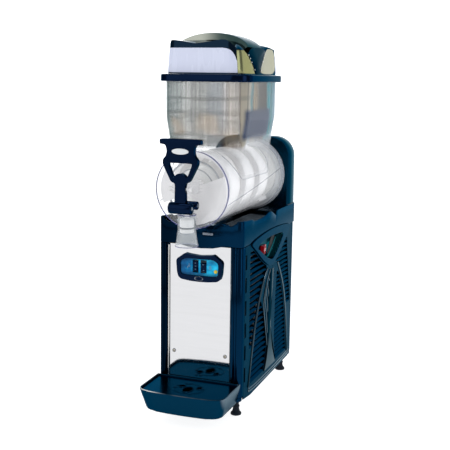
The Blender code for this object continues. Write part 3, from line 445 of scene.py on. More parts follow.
# painted light gradients, each: dark end, light end, gloss, then the axis and the places on it of the two
# ends
for slot, name, *look in (
        # housing back: painted reflection, lighter towards its rear
        ("navy_plastic", "housing_gloss", (0.001, 0.018, 0.038), (0.055, 0.120, 0.150), 0.16,
         "Y", deep(0.350), deep(0.405)),
        # spine: painted highlight, lighter towards its foot
        ("navy_plastic", "spine_gloss", (0.0010, 0.010, 0.018), (0.022, 0.040, 0.050), 0.10,
         "Z", 0.135, 0.065),
        # arch and flame ribs: painted highlight, lighter higher up
        ("navy_plastic", "rib_gloss", (0.004, 0.022, 0.034), (0.085, 0.125, 0.150), 0.12, "Z", 0.04, 0.20),
        # lip rails: pale painted highlight lines
        ("navy_plastic", "rail_light", (0.100, 0.130, 0.155), (0.160, 0.200, 0.225), 0.14,
         "Y", deep(0.05), deep(0.35)),
        # tray: painted reflection, lighter on its right wall
        ("navy_plastic", "tray_gloss", (0.0010, 0.0235, 0.0520), (0.130, 0.165, 0.195), 0.20,
         "X", 0.0925, 0.1005),
        # tray rim and post beads: pale painted highlight on the left, navy on the right
        ("navy_plastic", "edge_light", (0.62, 0.60, 0.57), (0.006, 0.022, 0.040), 0.16,
         "X", -0.088, -0.020),
        # recess cup: painted reflection, teal towards the rear
        ("navy_plastic", "recess_gloss", (0.0008, 0.010, 0.018), (0.010, 0.090, 0.105), 0.10,
         "Y", deep(0.10), deep(0.30)),
        # canopy arch: painted reflection, light olive on the left, dark on the right
        ("black_plastic", "arch_gloss", (0.300, 0.310, 0.270), (0.012, 0.030, 0.030), 0.10,
         "X", -0.035, 0.025),
        # canopy legs: faint painted highlight, lighter towards the top
        ("black_plastic", "leg_gloss", (0.001, 0.006, 0.012), (0.003, 0.016, 0.026), 0.10,
         "Z", 0.770, 0.830, (0.44, 0.47, 0.49)),
        # canopy cheeks: black plastic with a bronze-grey painted reflection, lighter towards the rear
        ("black_plastic", "cheek_bronze", (0.210, 0.210, 0.105), (0.360, 0.360, 0.330), 0.14,
         "Y", deep(0.05), deep(0.20), (0.60, 0.60, 0.50))):
    variant(slot, name, painted_light_skin(name, *look))

SLOT_OF = {part["node"]: part["material_slot"] for part in frame["record"]["subparts"]}


def dress_nodes():
    """Every node that is shown as it is gets the finish of its slot."""
    for name, item in frame["nodes"].items():
        item.data.materials.clear()
        item.data.materials.append(FINISH[SLOT_OF[name]])


dress_nodes()


# ---- shape helpers: each returns (points, faces) -------------------------------------------------------
def skin(rows, wrap=True, caps=True):
    """Surface through equal rows of points, each closed on itself if wrap; caps fan the ends shut."""
    rows = [np.asarray(row, float) for row in rows]
    count, faces = len(rows[0]), []
    for r in range(len(rows) - 1):
        for i in range(count if wrap else count - 1):
            j = (i + 1) % count
            faces.append((r * count + i, r * count + j, (r + 1) * count + j, (r + 1) * count + i))
    points = np.concatenate(rows)
    if caps:
        for start, row in ((0, rows[0]), ((len(rows) - 1) * count, rows[-1])):
            points = np.vstack([points, row.mean(axis=0)])
            middle = len(points) - 1
            faces += [(start + i, start + (i + 1) % count, middle) for i in range(count)]
    return points, faces


def through(value, points):
    """The second number of (first, second) points at a value of the first, on straight lines between them."""
    return np.interp(value, *zip(*points))


def lift(point, axis, along):
    """World point from its place across an axis and its distance along it."""
    a, b = point
    return {"X": (along, a, b), "Y": (a, along, b), "Z": (a, b, along)}[axis]


def lathe(profile, axis, centre, steps=48):
    """Profile of (radius, distance along the axis) turned round the axis; its ends close on the axis."""
    turn = np.linspace(0, 2 * math.pi, steps, endpoint=False)
    rows = [[lift((centre[0] + max(r, 1e-6) * math.cos(t), centre[1] + max(r, 1e-6) * math.sin(t)), axis, a)
             for t in turn] for r, a in profile]
    return skin(rows)


def ring(profile, axis, centre, steps=64):
    """Closed profile of (radius, distance along the axis) turned round the axis."""
    turn = np.linspace(0, 2 * math.pi, steps, endpoint=False)
    rows = [[lift((centre[0] + r * math.cos(t), centre[1] + r * math.sin(t)), axis, a) for t in turn]
            for r, a in [*profile, profile[0]]]
    return skin(rows, caps=False)


def tube(path, radius, sides=8, flat=1.0):
    """Round bar along a path of points; radius may be one value or one for each point."""
    path = np.asarray(path, float)
    radii = np.broadcast_to(radius, (len(path),))
    ahead = np.gradient(path, axis=0)
    side, rows = np.array([0.37, 0.51, 0.77]), []
    for point, tangent, r in zip(path, ahead, radii):
        tangent = tangent / np.linalg.norm(tangent)
        side = side - tangent * side.dot(tangent)
        side = side / np.linalg.norm(side)
        up = np.cross(tangent, side)
        rows.append([point + r * (math.cos(t) * side + math.sin(t) * flat * up)
                     for t in np.linspace(0, 2 * math.pi, sides, endpoint=False)])
    return skin(rows)


def arc(centre, radius, start, end, count):
    """Points on a circle between two angles in degrees."""
    return [(centre[0] + radius * math.cos(t), centre[1] + radius * math.sin(t))
            for t in np.radians(np.linspace(start, end, count))]


def rounded(low, high, radius, steps=8):
    """Rectangle with round corners, anticlockwise from its lower right corner."""
    (a0, b0), (a1, b1) = low, high
    out = []
    for a, b, start in ((a1 - radius, b0 + radius, -90), (a1 - radius, b1 - radius, 0),
                        (a0 + radius, b1 - radius, 90), (a0 + radius, b0 + radius, 180)):
        out += arc((a, b), radius, start, start + 90, steps + 1)
    return out


def evened(outline, spacing):
    """Closed outline with points added, so that neighbours lie about a spacing apart."""
    out = []
    for a, b in zip(outline, np.roll(outline, -1, axis=0)):
        steps = max(1, int(np.linalg.norm(b - a) / spacing))
        out += [a + (b - a) * k / steps for k in range(steps)]
    return np.array(out)


def oval(centre, half_a, half_b, steps=32):
    """Ellipse with its half widths along the two directions."""
    turn = np.linspace(0, 2 * math.pi, steps, endpoint=False)
    return [(centre[0] + half_a * math.cos(t), centre[1] + half_b * math.sin(t)) for t in turn]


def softened(points, closed=True, times=2, share=0.2):
    """Chaikin corner cutting: each corner is replaced by points a share along the edges that meet there."""
    points = np.asarray(points, float)
    for _ in range(times):
        after = np.roll(points, -1, axis=0)
        pairs = np.stack([points * (1 - share) + after * share, points * share + after * (1 - share)], axis=1)
        if closed:
            points = pairs.reshape(-1, points.shape[1])
        else:
            points = np.vstack([points[:1], pairs[:-1].reshape(-1, points.shape[1]), points[-1:]])
    return [tuple(p) for p in points]


def curve(knots, count=40):
    """Smooth curve through knots (Catmull-Rom), as evenly numbered points."""
    knots = np.asarray(knots, float)
    padded = np.vstack([2 * knots[0] - knots[1], knots, 2 * knots[-1] - knots[-2]])
    out = []
    for s in np.linspace(0, len(knots) - 1 - 1e-9, count):
        i, t = int(s), s - int(s)
        a, b, c, d = padded[i:i + 4]
        out.append(0.5 * (2 * b + (c - a) * t + (2 * a - 5 * b + 4 * c - d) * t ** 2
                          + (3 * b - a - 3 * c + d) * t ** 3))
    return np.array(out)


def mirrored(half):
    """Closed outline from its right half, listed from bottom middle to top middle."""
    return half + [(-a, b) for a, b in reversed(half) if abs(a) > 1e-9]


def inset(outline, amount):
    """Outline moved inwards along its corner normals, for gentle corners and small amounts."""
    points = np.asarray(outline, float)
    edge = np.roll(points, -1, axis=0) - np.roll(points, 1, axis=0)
    normal = np.stack([-edge[:, 1], edge[:, 0]], axis=1) / np.linalg.norm(edge, axis=1)[:, None]
    area = np.sum(points[:, 0] * np.roll(points[:, 1], -1) - np.roll(points[:, 0], -1) * points[:, 1])
    return points + normal * amount * (1 if area > 0 else -1)


def slab(outline, axis, levels):
    """Outline carried along an axis through levels of (distance, inset), closed at both ends."""
    return skin([[lift(p, axis, along) for p in inset(outline, shrink)] for along, shrink in levels])


def soft_slab(outline, axis, low, high, edge):
    """Slab whose rims are quarter rounds of the given radius."""
    turn = np.radians((0, 22, 45, 68, 90))
    bottom = [(low + edge * (1 - math.sin(t)), edge * (1 - math.cos(t))) for t in turn[::-1]]
    top = [(high - edge * (1 - math.sin(t)), edge * (1 - math.cos(t))) for t in turn]
    return slab(outline, axis, bottom + top)


def block(low, high, edge=0.0006):
    """Box with softened upright and level edges."""
    return soft_slab(rounded((low[0], low[1]), (high[0], high[1]), edge * 1.5, 2), "Z", low[2], high[2], edge)


def wall(path, low, high, thick, edge=0.0015):
    """Upright wall along a plan path, from low to high at each point, its rims rounded by edge."""
    path = np.asarray(path, float)
    ahead = np.gradient(path, axis=0)
    inward = np.stack([-ahead[:, 1], ahead[:, 0]], axis=1) / np.linalg.norm(ahead, axis=1)[:, None]
    low, high = np.broadcast_to(low, (len(path),)), np.broadcast_to(high, (len(path),))
    rows = []
    for point, into, z0, z1 in zip(path, inward, low, high):
        section = [(0, z0 + edge), (0, (z0 + z1) / 2), (0, z1 - edge), (edge * 0.3, z1 - edge * 0.3),
                   (edge, z1), (thick - edge, z1), (thick, z1 - edge), (thick, z0 + edge), (thick - edge, z0),
                   (edge, z0), (edge * 0.3, z0 + edge * 0.3)]
        rows.append([(*(point + into * a), z) for a, z in section])
    return skin(rows)


def moved(shape, matrix):
    """The shape under a matrix."""
    points, faces = shape
    return np.array([matrix @ Vector(p) for p in points]), faces


def piece(name, shapes, finish, body, nodes=(), slot=None, sharp=38, modifiers=()):
    """One object from its shapes, normals out, riding on its body and standing for its CAD nodes."""
    mesh = bmesh.new()
    for points, faces in shapes if isinstance(shapes, list) else [shapes]:
        made = [mesh.verts.new(p) for p in points]
        for face in faces:
            mesh.faces.new([made[i] for i in face])
    bmesh.ops.remove_doubles(mesh, verts=mesh.verts[:], dist=1e-6)
    bmesh.ops.dissolve_degenerate(mesh, edges=mesh.edges[:], dist=1e-7)
    bmesh.ops.recalc_face_normals(mesh, faces=mesh.faces[:])
    data = bpy.data.meshes.new(name)
    mesh.to_mesh(data)
    mesh.free()
    data.shade_smooth()
    data.set_sharp_from_angle(angle=math.radians(sharp))
    data.materials.append(FINISH[finish])
    made = bpy.data.objects.new(name, data)
    bpy.context.scene.collection.objects.link(made)
    for kind, settings in modifiers:
        change = made.modifiers.new(kind.lower(), kind)
        for key, value in settings.items():
            setattr(change, key, value)
    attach(made, body)
    if nodes:
        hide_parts(*nodes)
    slot or BASE_SLOT.get(finish, finish)


def plate(name, outline, axis, low, high, finish, body, holes=(), edge=0.0006, nodes=(), segments=2):
    """Flat sheet with holes, extruded along an axis, its rims rounded by a bevel."""
    mesh = bmesh.new()
    edges = []
    for loop in [outline, *holes]:
        corners = [mesh.verts.new(lift(p, axis, low)) for p in loop]
        edges += [mesh.edges.new((corners[i - 1], corners[i])) for i in range(len(corners))]
    bmesh.ops.triangle_fill(mesh, edges=edges, use_beauty=True)
    grown = bmesh.ops.extrude_face_region(mesh, geom=mesh.faces[:])
    bmesh.ops.translate(mesh, verts=[g for g in grown["geom"] if isinstance(g, bmesh.types.BMVert)],
                        vec=Vector(lift((0, 0), axis, high - low)))
    points = [tuple(v.co) for v in mesh.verts]
    mesh.verts.index_update()
    faces = [tuple(v.index for v in face.verts) for face in mesh.faces]
    mesh.free()
    rims = [("BEVEL", {"width": edge, "segments": segments, "limit_method": "ANGLE",
                       "angle_limit": math.radians(40), "harden_normals": True})] if edge else []
    piece(name, (points, faces), finish, body, nodes, modifiers=rims)


def side_view(points):
    """Outline of (depth, height) in world y and z."""
    return [(deep(d), z) for d, z in points]


def rectangle(low, high):
    """Outline of a plain rectangle."""
    return [low, (high[0], low[1]), high, (low[0], high[1])]


def span(sign, near, far):
    """The two distances from the middle on one side of the machine, in rising order."""
    return sorted((sign * near, sign * far))


def side_slab(outline, sign, near, far, edge=0.0003):
    """Soft slab on one side of the machine: outline of (depth, height), thickness from near to far."""
    return soft_slab(side_view(outline), "X", *span(sign, near, far), edge)


def facing(make, profile, steps, at=(0, AXIS_Z)):
    """Lathe or ring about a level axis from front to back; profile of (radius, depth)."""
    return make([(r, deep(d)) for r, d in profile], "Y", at, steps)


# ---- cabinet -------------------------------------------------------------------------------------------
def feet():
    """Rubber foot: a round sole, a cone and a ribbed stud under the cabinet."""
    profile = [(0, 0), (0.0118, 0), (0.0125, 0.0008), (0.0125, 0.0040), (0.0118, 0.0052), (0.0092, 0.0075),
               (0.0074, 0.0130), (0.0070, 0.0180), (0.0082, 0.0190), (0.0082, 0.0215), (0.0066, 0.0225),
               (0.0066, 0.0290), (0.0086, 0.0300), (0.0086, 0.0350), (0.0064, 0.0360), (0.0064, 0.0417),
               (0, 0.0417)]
    for corner, depth in (("front", 0.030), ("rear", 0.374)):
        for word, sign in SIDES:
            piece(f"sole_{corner}_{word}", lathe(profile, "Z", (sign * 0.080, deep(depth))), "rubber",
                  "cabinet", (f"foot_{corner}_{word}",))


def posts():
    """Fluted corner posts: the plan has a round corner and two hollows, and a round cap closes each below."""
    radius = 0.0115
    plan = [(0.0733, 0.0198), (0.0733, 0.0010), (0.0743, 0.0), (0.0765, 0.0), (0.0776, 0.0004),
            (0.0786, 0.0016), (0.0800, 0.0020), (0.0814, 0.0016), (0.0824, 0.0004), (0.0836, 0.0),
            (0.0866, 0.0), (0.0872, 0.0005), (0.0876, 0.0013), (0.0880, 0.0005)]
    plan += [*arc((0.0885, radius), radius, -90, 0, 10), (0.1000, 0.0198)]
    cap = [(0, 0.0385), (0.0100, 0.0385), (0.0122, 0.0395), (0.0128, 0.0415), (0.0128, 0.0480),
           (0.0120, 0.0495), (0.0100, 0.0502), (0, 0.0502)]
    for where, depth, outward, finish in (("front", -0.001, -1, "navy_front"),
                                          ("rear", 0.4035, 1, "navy_plastic")):
        for word, sign in SIDES:
            y = deep(depth)
            outline = [(sign * x, y - outward * b) for x, b in plan]
            shaft = slab(outline, "Z", [(0.0500, 0.0), (0.2200, 0.0), (0.3932, 0.0), (0.3936, 0.0004)])
            if where == "front":
                # a bead on each front post carries the pale painted highlight on the left post
                bead = [(sign * 0.0752, deep(-0.0012), z) for z in np.linspace(0.0620, 0.3900, 30)]
                piece(f"post_highlight_bead_{word}", tube(bead, 0.0017, 8, 0.7), "edge_light", "cabinet")
            piece(f"corner_post_{where}_{word}",
                  [shaft, lathe(cap, "Z", (sign * 0.0865, y - outward * 0.0125), 32)], finish, "cabinet",
                  (f"post_{where}_{word}",), sharp=50)


# the curves of the side cover, as (height, depth)
LEVELS = {
    "arch_front": [(0.060, 0.054), (0.080, 0.061), (0.135, 0.077), (0.190, 0.096), (0.244, 0.122),
                   (0.280, 0.149), (0.316, 0.186)],
    "arch_rear": [(0.060, 0.364), (0.085, 0.359), (0.150, 0.349), (0.213, 0.331), (0.265, 0.305),
                  (0.316, 0.264)],
    "flame_front": [(0.060, 0.163), (0.095, 0.178), (0.125, 0.186), (0.150, 0.183), (0.200, 0.166),
                    (0.243, 0.140)],
    "recess_front": [(0.316, 0.206), (0.320, 0.186), (0.342, 0.140), (0.370, 0.095), (0.393, 0.057)],
    "recess_rear": [(0.316, 0.226), (0.324, 0.248), (0.348, 0.298), (0.378, 0.345), (0.395, 0.370)],
    "spine_rear": [(0.060, 0.262), (0.113, 0.250), (0.160, 0.249), (0.213, 0.251), (0.300, 0.262)],
    "edge_rear": [(0.060, 0.366), (0.203, 0.378), (0.342, 0.346), (0.380, 0.346)],
}


def level(name, z):
    """Depth of a side cover's curve at a height."""
    return through(z, LEVELS[name])


def arch_inner(name, z, gap):
    """Depth beside an arch rib; above the arch's top it follows the recess bezel."""
    if name == "front":
        return min(level("arch_front", z) - gap if z < 0.316 else 1.0,
                   level("recess_front", z) - gap if z > 0.316 else 1.0)
    return max(level("arch_rear", z) + gap if z < 0.316 else 0.0,
               level("recess_rear", z) + gap if z > 0.316 else 0.0)


# louvre fields of the side cover: height range, pitch, and the two bounding depths at a height
FIELDS = {
    "lower_front": (0.0640, 0.2420, 0.0135, lambda z: level("arch_front", z) + 0.0100,
                    lambda z: level("flame_front", z)),
    "lower_rear": (0.0640, 0.2900, 0.0112, lambda z: level("spine_rear", z),
                   lambda z: level("arch_rear", z) - 0.0110),
    "upper_front": (0.1500, 0.3750, 0.0135, lambda z: 0.0560,
                    lambda z: arch_inner("front", z, 0.0070)),
    "upper_rear": (0.1900, 0.3700, 0.0112, lambda z: arch_inner("rear", z, 0.0080),
                   lambda z: level("edge_rear", z))}


LOUVRE = [(0.0992, -0.0042), (0.0996, -0.0036), (0.0990, -0.0022), (0.0945, 0.0030), (0.0936, 0.0032),
          (0.0932, 0.0024), (0.0975, -0.0036)]      # section of a blade: distance from the middle, height
SKIN = 0.0999                                       # the side cover's raised ribs start here


def louvre_fields():
    """Outline of each louvre field, and the place (start, end, height) of each of its blades."""
    for low, high, pitch, start, end in FIELDS.values():
        wide = [z for z in np.linspace(low, high, 26) if end(z) - start(z) > 0.006]
        blades, z = [], low + pitch * 0.30
        while z < high - pitch * 0.35:
            if end(z) - start(z) + 0.0030 > 0.012:
                blades.append((start(z) - 0.0015, end(z) + 0.0015, z))
            z += pitch
        yield [(start(z), z) for z in wide] + [(end(z), z) for z in wide[::-1]], blades


def rib(sign, x, points, radius, sides=6):
    """Bar on a side cover through points of (depth, height)."""
    return tube([(sign * x, deep(d), z) for d, z in points], radius, sides)


def louvre_cover(word, sign):
    """Side cover with tall slots, and slanted blades in its louvre fields before a dark sheet, painted shade
    for the shaded inside.
    """
    outline = [(0.0212, 0.0400), (0.0700, 0.0345), (0.3740, 0.0400), (0.3828, 0.0430), (0.3828, 0.3932),
               (0.0212, 0.3932)]
    holes, blades = [], []
    for i in range(6):
        z = 0.0790 + 0.0522 * i
        holes.append(rounded((0.0240, z), (0.0330, z + 0.0335), 0.0012, 2))
    for field, places in louvre_fields():
        holes.append(field)
        for first, last, z in places:
            blades.append(skin([[(sign * x, deep(d), z + dz) for x, dz in LOUVRE]
                                for d in np.linspace(first, last, 6)]))
    plate(f"side_cover_{word}", side_view(outline), "X", *span(sign, 0.0972, 0.0998), "navy_side", "cabinet",
          [side_view(hole) for hole in [*holes, RECESS_MOUTH]], 0.0007, (f"side_panel_{word}",))
    piece(f"louvres_{word}", blades, "navy_side", "cabinet")
    # dark sheets behind the louvres and slots: painted shade where the inside is in shadow
    screens = [side_slab(rectangle(low, high), sign, near, near + thick, 0.0002) for low, high, near,
               thick in (((0.0215, 0.0640), (0.3820, 0.3120), 0.0916, 0.0008),
                         ((0.0215, 0.3125), (0.0900, 0.3925), 0.0916, 0.0008),
                         ((0.3100, 0.3125), (0.3820, 0.3925), 0.0916, 0.0008),
                         ((0.0215, 0.3000), (0.3820, 0.3920), 0.0712, 0.0006))]
    piece(f"shade_screen_{word}", screens, "dark_void", "cabinet")


def cover_ribs(word, sign):
    """Raised work on a side cover: two arch ribs, five flame ribs, two lip rails, a flared spine, beads."""
    raised, rails = [], []
    for name in ("arch_front", "arch_rear"):
        path = [(sign * 0.1000, deep(level(name, z)), z) for z in np.linspace(0.058, 0.314, 40)]
        raised.append(tube(curve(path[::5] + [path[-1]], 60), 0.0022, 8))
    for k in range(5):
        knots = [(0.190 + 0.001 * k, 0.122 + 0.030 * k), (0.172 + 0.008 * k, 0.178 + 0.024 * k),
                 (0.158 + 0.009 * k, 0.228 + 0.015 * k), (0.172 + 0.006 * k, 0.270 + 0.007 * k),
                 (0.203 + 0.002 * k, 0.306)]
        raised.append(rib(sign, SKIN, curve(knots, 36), 0.0017 - 0.0001 * k))
    # the lip rails carry pale painted highlight lines
    for rail, radius in ((0.0570, 0.0012), (0.0500, 0.0016)):
        knots = [(0.0600, rail + 0.004), (0.0640, rail - 0.004), (0.1500, rail - 0.0065),
                 (0.2600, rail - 0.0055), (0.3640, rail - 0.001), (0.3730, rail + 0.004)]
        rails.append(rib(sign, SKIN, curve(knots, 40), radius))
    piece(f"lip_rails_{word}", rails, "rail_light", "cabinet")
    piece(f"arch_ribs_{word}", raised, "rib_gloss", "cabinet")
    spine = curve([(0.1710, 0.0600), (0.1880, 0.0930), (0.1945, 0.1230), (0.1940, 0.1500), (0.1880, 0.1900),
                   (0.1960, 0.2500), (0.2060, 0.3060)], 24).tolist()
    spine += curve([(0.2300, 0.3060), (0.2240, 0.2500), (0.2140, 0.2130), (0.2180, 0.1600), (0.2290, 0.1130),
                    (0.2450, 0.0820), (0.2600, 0.0600)], 24).tolist()
    levels = [(sign * 0.0990, 0.0), (sign * 0.1003, 0.0), (sign * 0.1012, 0.0006), (sign * 0.1016, 0.0016)]
    piece(f"spine_{word}", slab(side_view(spine), "X", levels), "spine_gloss", "cabinet", sharp=60)
    bead = [(0, sign * 0.0990), (0.0012, sign * 0.0994), (0.0010, sign * 0.1003), (0, sign * 0.1006)]
    row = curve([(0.226, 0.311), (0.243, 0.290), (0.262, 0.264), (0.279, 0.242)], 11)
    piece(f"bead_row_{word}", [lathe(bead, "X", (deep(d), z), 10) for d, z in row], "spine_gloss", "cabinet")


RECESS_TOP = [(0.0570, 0.3915), (0.0760, 0.3965), (0.1000, 0.4000), (0.1580, 0.4045), (0.2150, 0.4060),
              (0.2900, 0.4035), (0.3450, 0.3985), (0.3700, 0.3945)]
RECESS_EDGE = [(0.3450, 0.3780), (0.2980, 0.3480), (0.2480, 0.3235), (0.2170, 0.3175), (0.1860, 0.3200),
               (0.1400, 0.3420), (0.0950, 0.3700)]
RECESS_MOUTH = softened([(0.0950, 0.3730), (0.1100, 0.3840), (0.1600, 0.3905), (0.2150, 0.3915),
                         (0.2930, 0.3880), (0.3100, 0.3790), (0.2620, 0.3455), (0.2260, 0.3290),
                         (0.2070, 0.3280), (0.1680, 0.3400), (0.1200, 0.3640)], times=1)
RECESS_LIP = softened([(0.1010, 0.3750), (0.1150, 0.3830), (0.1600, 0.3880), (0.2150, 0.3890),
                       (0.2900, 0.3850), (0.3040, 0.3780), (0.2600, 0.3480), (0.2250, 0.3320),
                       (0.2080, 0.3310), (0.1700, 0.3430), (0.1250, 0.3660)], times=2)


def hand_recess(word, sign):
    """Proud triangular bezel whose lip rolls into a shallow cup with a slanted air mouth on its floor."""
    lip = side_view(RECESS_LIP)
    plate(f"recess_bezel_{word}", side_view(softened(RECESS_TOP + RECESS_EDGE, times=2)), "X",
          *span(sign, 0.1001, 0.1026), "navy_plastic", "cabinet", [lip], 0.0011, (f"side_recess_{word}",), 3)
    inner = [(0.0060, 0.0858), (0.0036, 0.0870), (0.0020, 0.0900), (0.0010, 0.0950), (0.0004, 0.0985),
             (0.0, 0.1001)]
    outer = [(-0.0012, 0.1001), (-0.0012, 0.0850), (0.0048, 0.0844)]
    cup = slab(lip, "X", [(sign * x, shrink) for shrink, x in inner + outer])
    piece(f"recess_cup_{word}", cup, "recess_gloss", "cabinet")
    # dark slab on the cup floor: painted shade for the shaded air mouth
    mouth = softened([(0.2150, 0.3400), (0.2400, 0.3420), (0.2860, 0.3800), (0.2520, 0.3820)], times=2)
    piece(f"air_mouth_{word}", side_slab(mouth, sign, 0.0856, 0.0866), "dark_void", "cabinet")


def power_key():
    """Lit rocker: a slab whose face is two planes meeting in a shallow valley, in a thin black frame."""
    turn = Matrix.Rotation(math.radians(10), 4, "Z")
    pivot = Matrix.Translation(JOINTS["power_switch"]["pos_m"])
    face = [(0.0163, -0.0150), (0.0148, 0.0), (0.0163, 0.0150), (0.0157, 0.0156), (0.0030, 0.0132),
            (-0.0020, 0.0050), (-0.0020, -0.0050), (0.0030, -0.0132), (0.0157, -0.0156)]
    key = slab(face, "Z", [(-0.0112, 0.0010), (-0.0108, 0.0004), (-0.0100, 0.0), (0.0100, 0.0),
                           (0.0108, 0.0004), (0.0112, 0.0010)])
    piece("lit_rocker", moved(key, pivot @ turn), "red_lens", "power_rocker", ("power_rocker",), sharp=30)
    marks = [block((0.0157, -0.0100, -0.0035), (0.0163, -0.0090, 0.0035), 0.0002),
             ring([(0.0024, 0.0153), (0.0034, 0.0153), (0.0034, 0.0163), (0.0024, 0.0163)], "X",
                  (0.0085, 0.0), 20)]
    piece("rocker_marks", [moved(m, pivot @ turn) for m in marks], "white_plastic", "power_rocker")


def front():
    """Brushed plate with two domed cross-slot screws, and the bezel, keys and lamp of the controls."""
    window = rectangle((-0.0440, 0.3285), (0.0440, 0.3625))
    plate("front_sheet", rectangle((-0.0726, 0.0602), (0.0726, 0.3933)), "Y", deep(0.0001), deep(0.0014),
          "brushed_steel", "cabinet", [window], 0.0004, ("front_panel",))
    dome = [(0, -0.0020), (0.0014, -0.00195), (0.0026, -0.0015), (0.0033, -0.0008), (0.0034, -0.0003),
            (0, -0.0003)]
    seat = [(0.0034, -0.0008), (0.0044, -0.0006), (0.0045, 0.0), (0.0034, 0.0)]
    for word, sign in SIDES:
        at = (sign * 0.0623, 0.1436)
        piece(f"screw_head_{word}", facing(lathe, dome, 24, at), "screw_satin", "cabinet",
              (f"panel_screw_{word}",))
        piece(f"screw_seat_{word}", facing(ring, seat, 24, at), "dim_chrome", "cabinet", slot="brushed_steel")
        # dark crosses on the screw heads: painted shade for the slots
        cross = [block((at[0] - a, deep(-0.00208), at[1] - b), (at[0] + a, deep(-0.0018), at[1] + b), 0.00005)
                 for a, b in ((0.0019, 0.0004), (0.0004, 0.0019))]
        piece(f"screw_slot_{word}", cross, "dark_void", "cabinet")
    outer = softened(mirrored([(0, 0.3112), (0.0200, 0.3118), (0.0430, 0.3145), (0.0500, 0.3195),
                               (0.0535, 0.3300), (0.0558, 0.3590), (0.0345, 0.3748), (0.0270, 0.3732),
                               (0, 0.3706)]), times=2, share=0.12)
    opening = softened(mirrored([(0, 0.3250), (0.0400, 0.3252), (0.0448, 0.3290), (0.0462, 0.3560),
                                 (0.0320, 0.3640), (0.0150, 0.3632), (0, 0.3630)]), times=2)
    plate("control_bezel", outer, "Y", deep(-0.0064), deep(-0.0004), "black_plastic", "cabinet", [opening],
          0.0016, ("display_bezel",), 3)
    boss = [(0.0112, -0.0064), (0.0104, -0.0079), (0.0096, -0.0082), (0.0088, -0.0079), (0.0080, -0.0070),
            (0.0112, -0.0060)]
    shrink = Matrix.Translation((0, 0, 0.3190)) @ Matrix.Scale(0.46, 4, (0, 0, 1))
    piece("emblem_ring", moved(facing(ring, boss, 40, (0, 0)), shrink), "dim_chrome", "cabinet")
    lit = softened(mirrored([(0, 0.3252), (0.0396, 0.3254), (0.0444, 0.3292), (0.0458, 0.3558),
                             (0.0316, 0.3637), (0.0150, 0.3629), (0, 0.3627)]), times=1)
    keys = [rounded((s * 0.0096 - 0.0074, 0.3310), (s * 0.0096 + 0.0074, 0.3612), 0.001, 2) for s in (-1, 1)]
    plate("display_face", lit, "Y", deep(-0.0035), deep(-0.0010), "blue_display", "cabinet",
          [*keys, oval((0.0387, 0.3370), 0.0045, 0.0045, 20)], 0.0002, ("display_plate",), 1)
    lamp = [(0, -0.0062), (0.0018, -0.0060), (0.0034, -0.0051), (0.0041, -0.0038), (0.0042, 0.0040),
            (0, 0.0040)]
    piece("amber_lamp", facing(lathe, lamp, 24, (0.0387, 0.3370)), "amber_lens", "cabinet",
          ("indicator_lamp",))
    icons = []
    for x, z, w, h in ((-0.0250, 0.3450, 0.0030, 0.0008), (-0.0250, 0.3480, 0.0008, 0.0030),
                       (-0.0285, 0.3420, 0.0008, 0.0022), (0.0255, 0.3450, 0.0036, 0.0008),
                       (0.0255, 0.3420, 0.0026, 0.0008), (0.0255, 0.3480, 0.0022, 0.0008)):
        icons.append(block((x - w, deep(-0.0038), z - h), (x + w, deep(-0.0034), z + h), 0.0001))
    piece("display_icons", icons, "pale_ink", "cabinet")
    notes = [block((0.0300 + 0.0030 * k, deep(-0.0038), 0.3560), (0.0312 + 0.0030 * k, deep(-0.0034), 0.3578),
                   0.0001) for k in range(3)]
    piece("display_notes", notes, "dark_void", "cabinet", slot="blue_display")
    for name, body, tilt, marks in (("mode_key", "mode_rocker", 0.0, 3),
                                    ("light_key", "light_rocker", 12.0, 2)):
        outline = softened([(-0.0102, -0.0125), (-0.0078, -0.0045), (-0.0078, 0.0045), (-0.0102, 0.0125),
                            (0.0010, 0.0086), (0.0045, 0.0030), (0.0045, -0.0030), (0.0010, -0.0086)],
                           times=1)
        key = slab(outline, "X", [(-0.0068, 0.0008), (-0.0064, 0.0002), (-0.0060, 0.0), (0.0060, 0.0),
                                  (0.0064, 0.0002), (0.0068, 0.0008)])
        at = Matrix.Translation(JOINTS[body.replace("rocker", "switch")]["pos_m"]) \
            @ Matrix.Rotation(math.radians(tilt), 4, "X")
        piece(name, moved(key, at), "black_plastic", body, (body,))
        dots = []
        for dz in np.linspace(-0.0070, 0.0070, marks):
            face_y = -0.0084 - 0.0006 * abs(dz) / 0.004
            dots.append(block((-0.0016, face_y, dz - 0.0005), (0.0016, -0.0076, dz + 0.0005), 0.0001))
        piece(name + "_marks", [moved(d, at) for d in dots], "pale_ink", body, slot="white_plastic")


def deck_path():
    """Plan path of the deck's outer face: up the left side, round the front corners, back on the right."""
    front_y, back_y, r = deep(-0.0020), deep(0.2447), 0.012
    left = [(-HALF, y) for y in np.linspace(back_y, front_y + r, 40)]
    corner = arc((r - HALF, front_y + r), r, 189, 270, 9)
    across = [(x, front_y) for x in np.linspace(-HALF + r + 0.003, 0, 18)]
    half = left + corner + across
    return half + [(-x, y) for x, y in half[-2::-1]]


def cradle(half, crest, start, end, count):
    """Sheet under the barrel, 3 mm thick: level at the crest's height, and a round trough about the axis."""
    x = np.linspace(-half, half, 61)
    z = np.minimum(crest, AXIS_Z - np.sqrt(np.clip(0.0940 ** 2 - x ** 2, 0, None)) - 0.0006)
    section = [*zip(x, z), *zip(x[::-1], z[::-1] - 0.0030)]
    return skin([[(a, deep(depth), b) for a, b in section] for depth in np.linspace(start, end, count)])


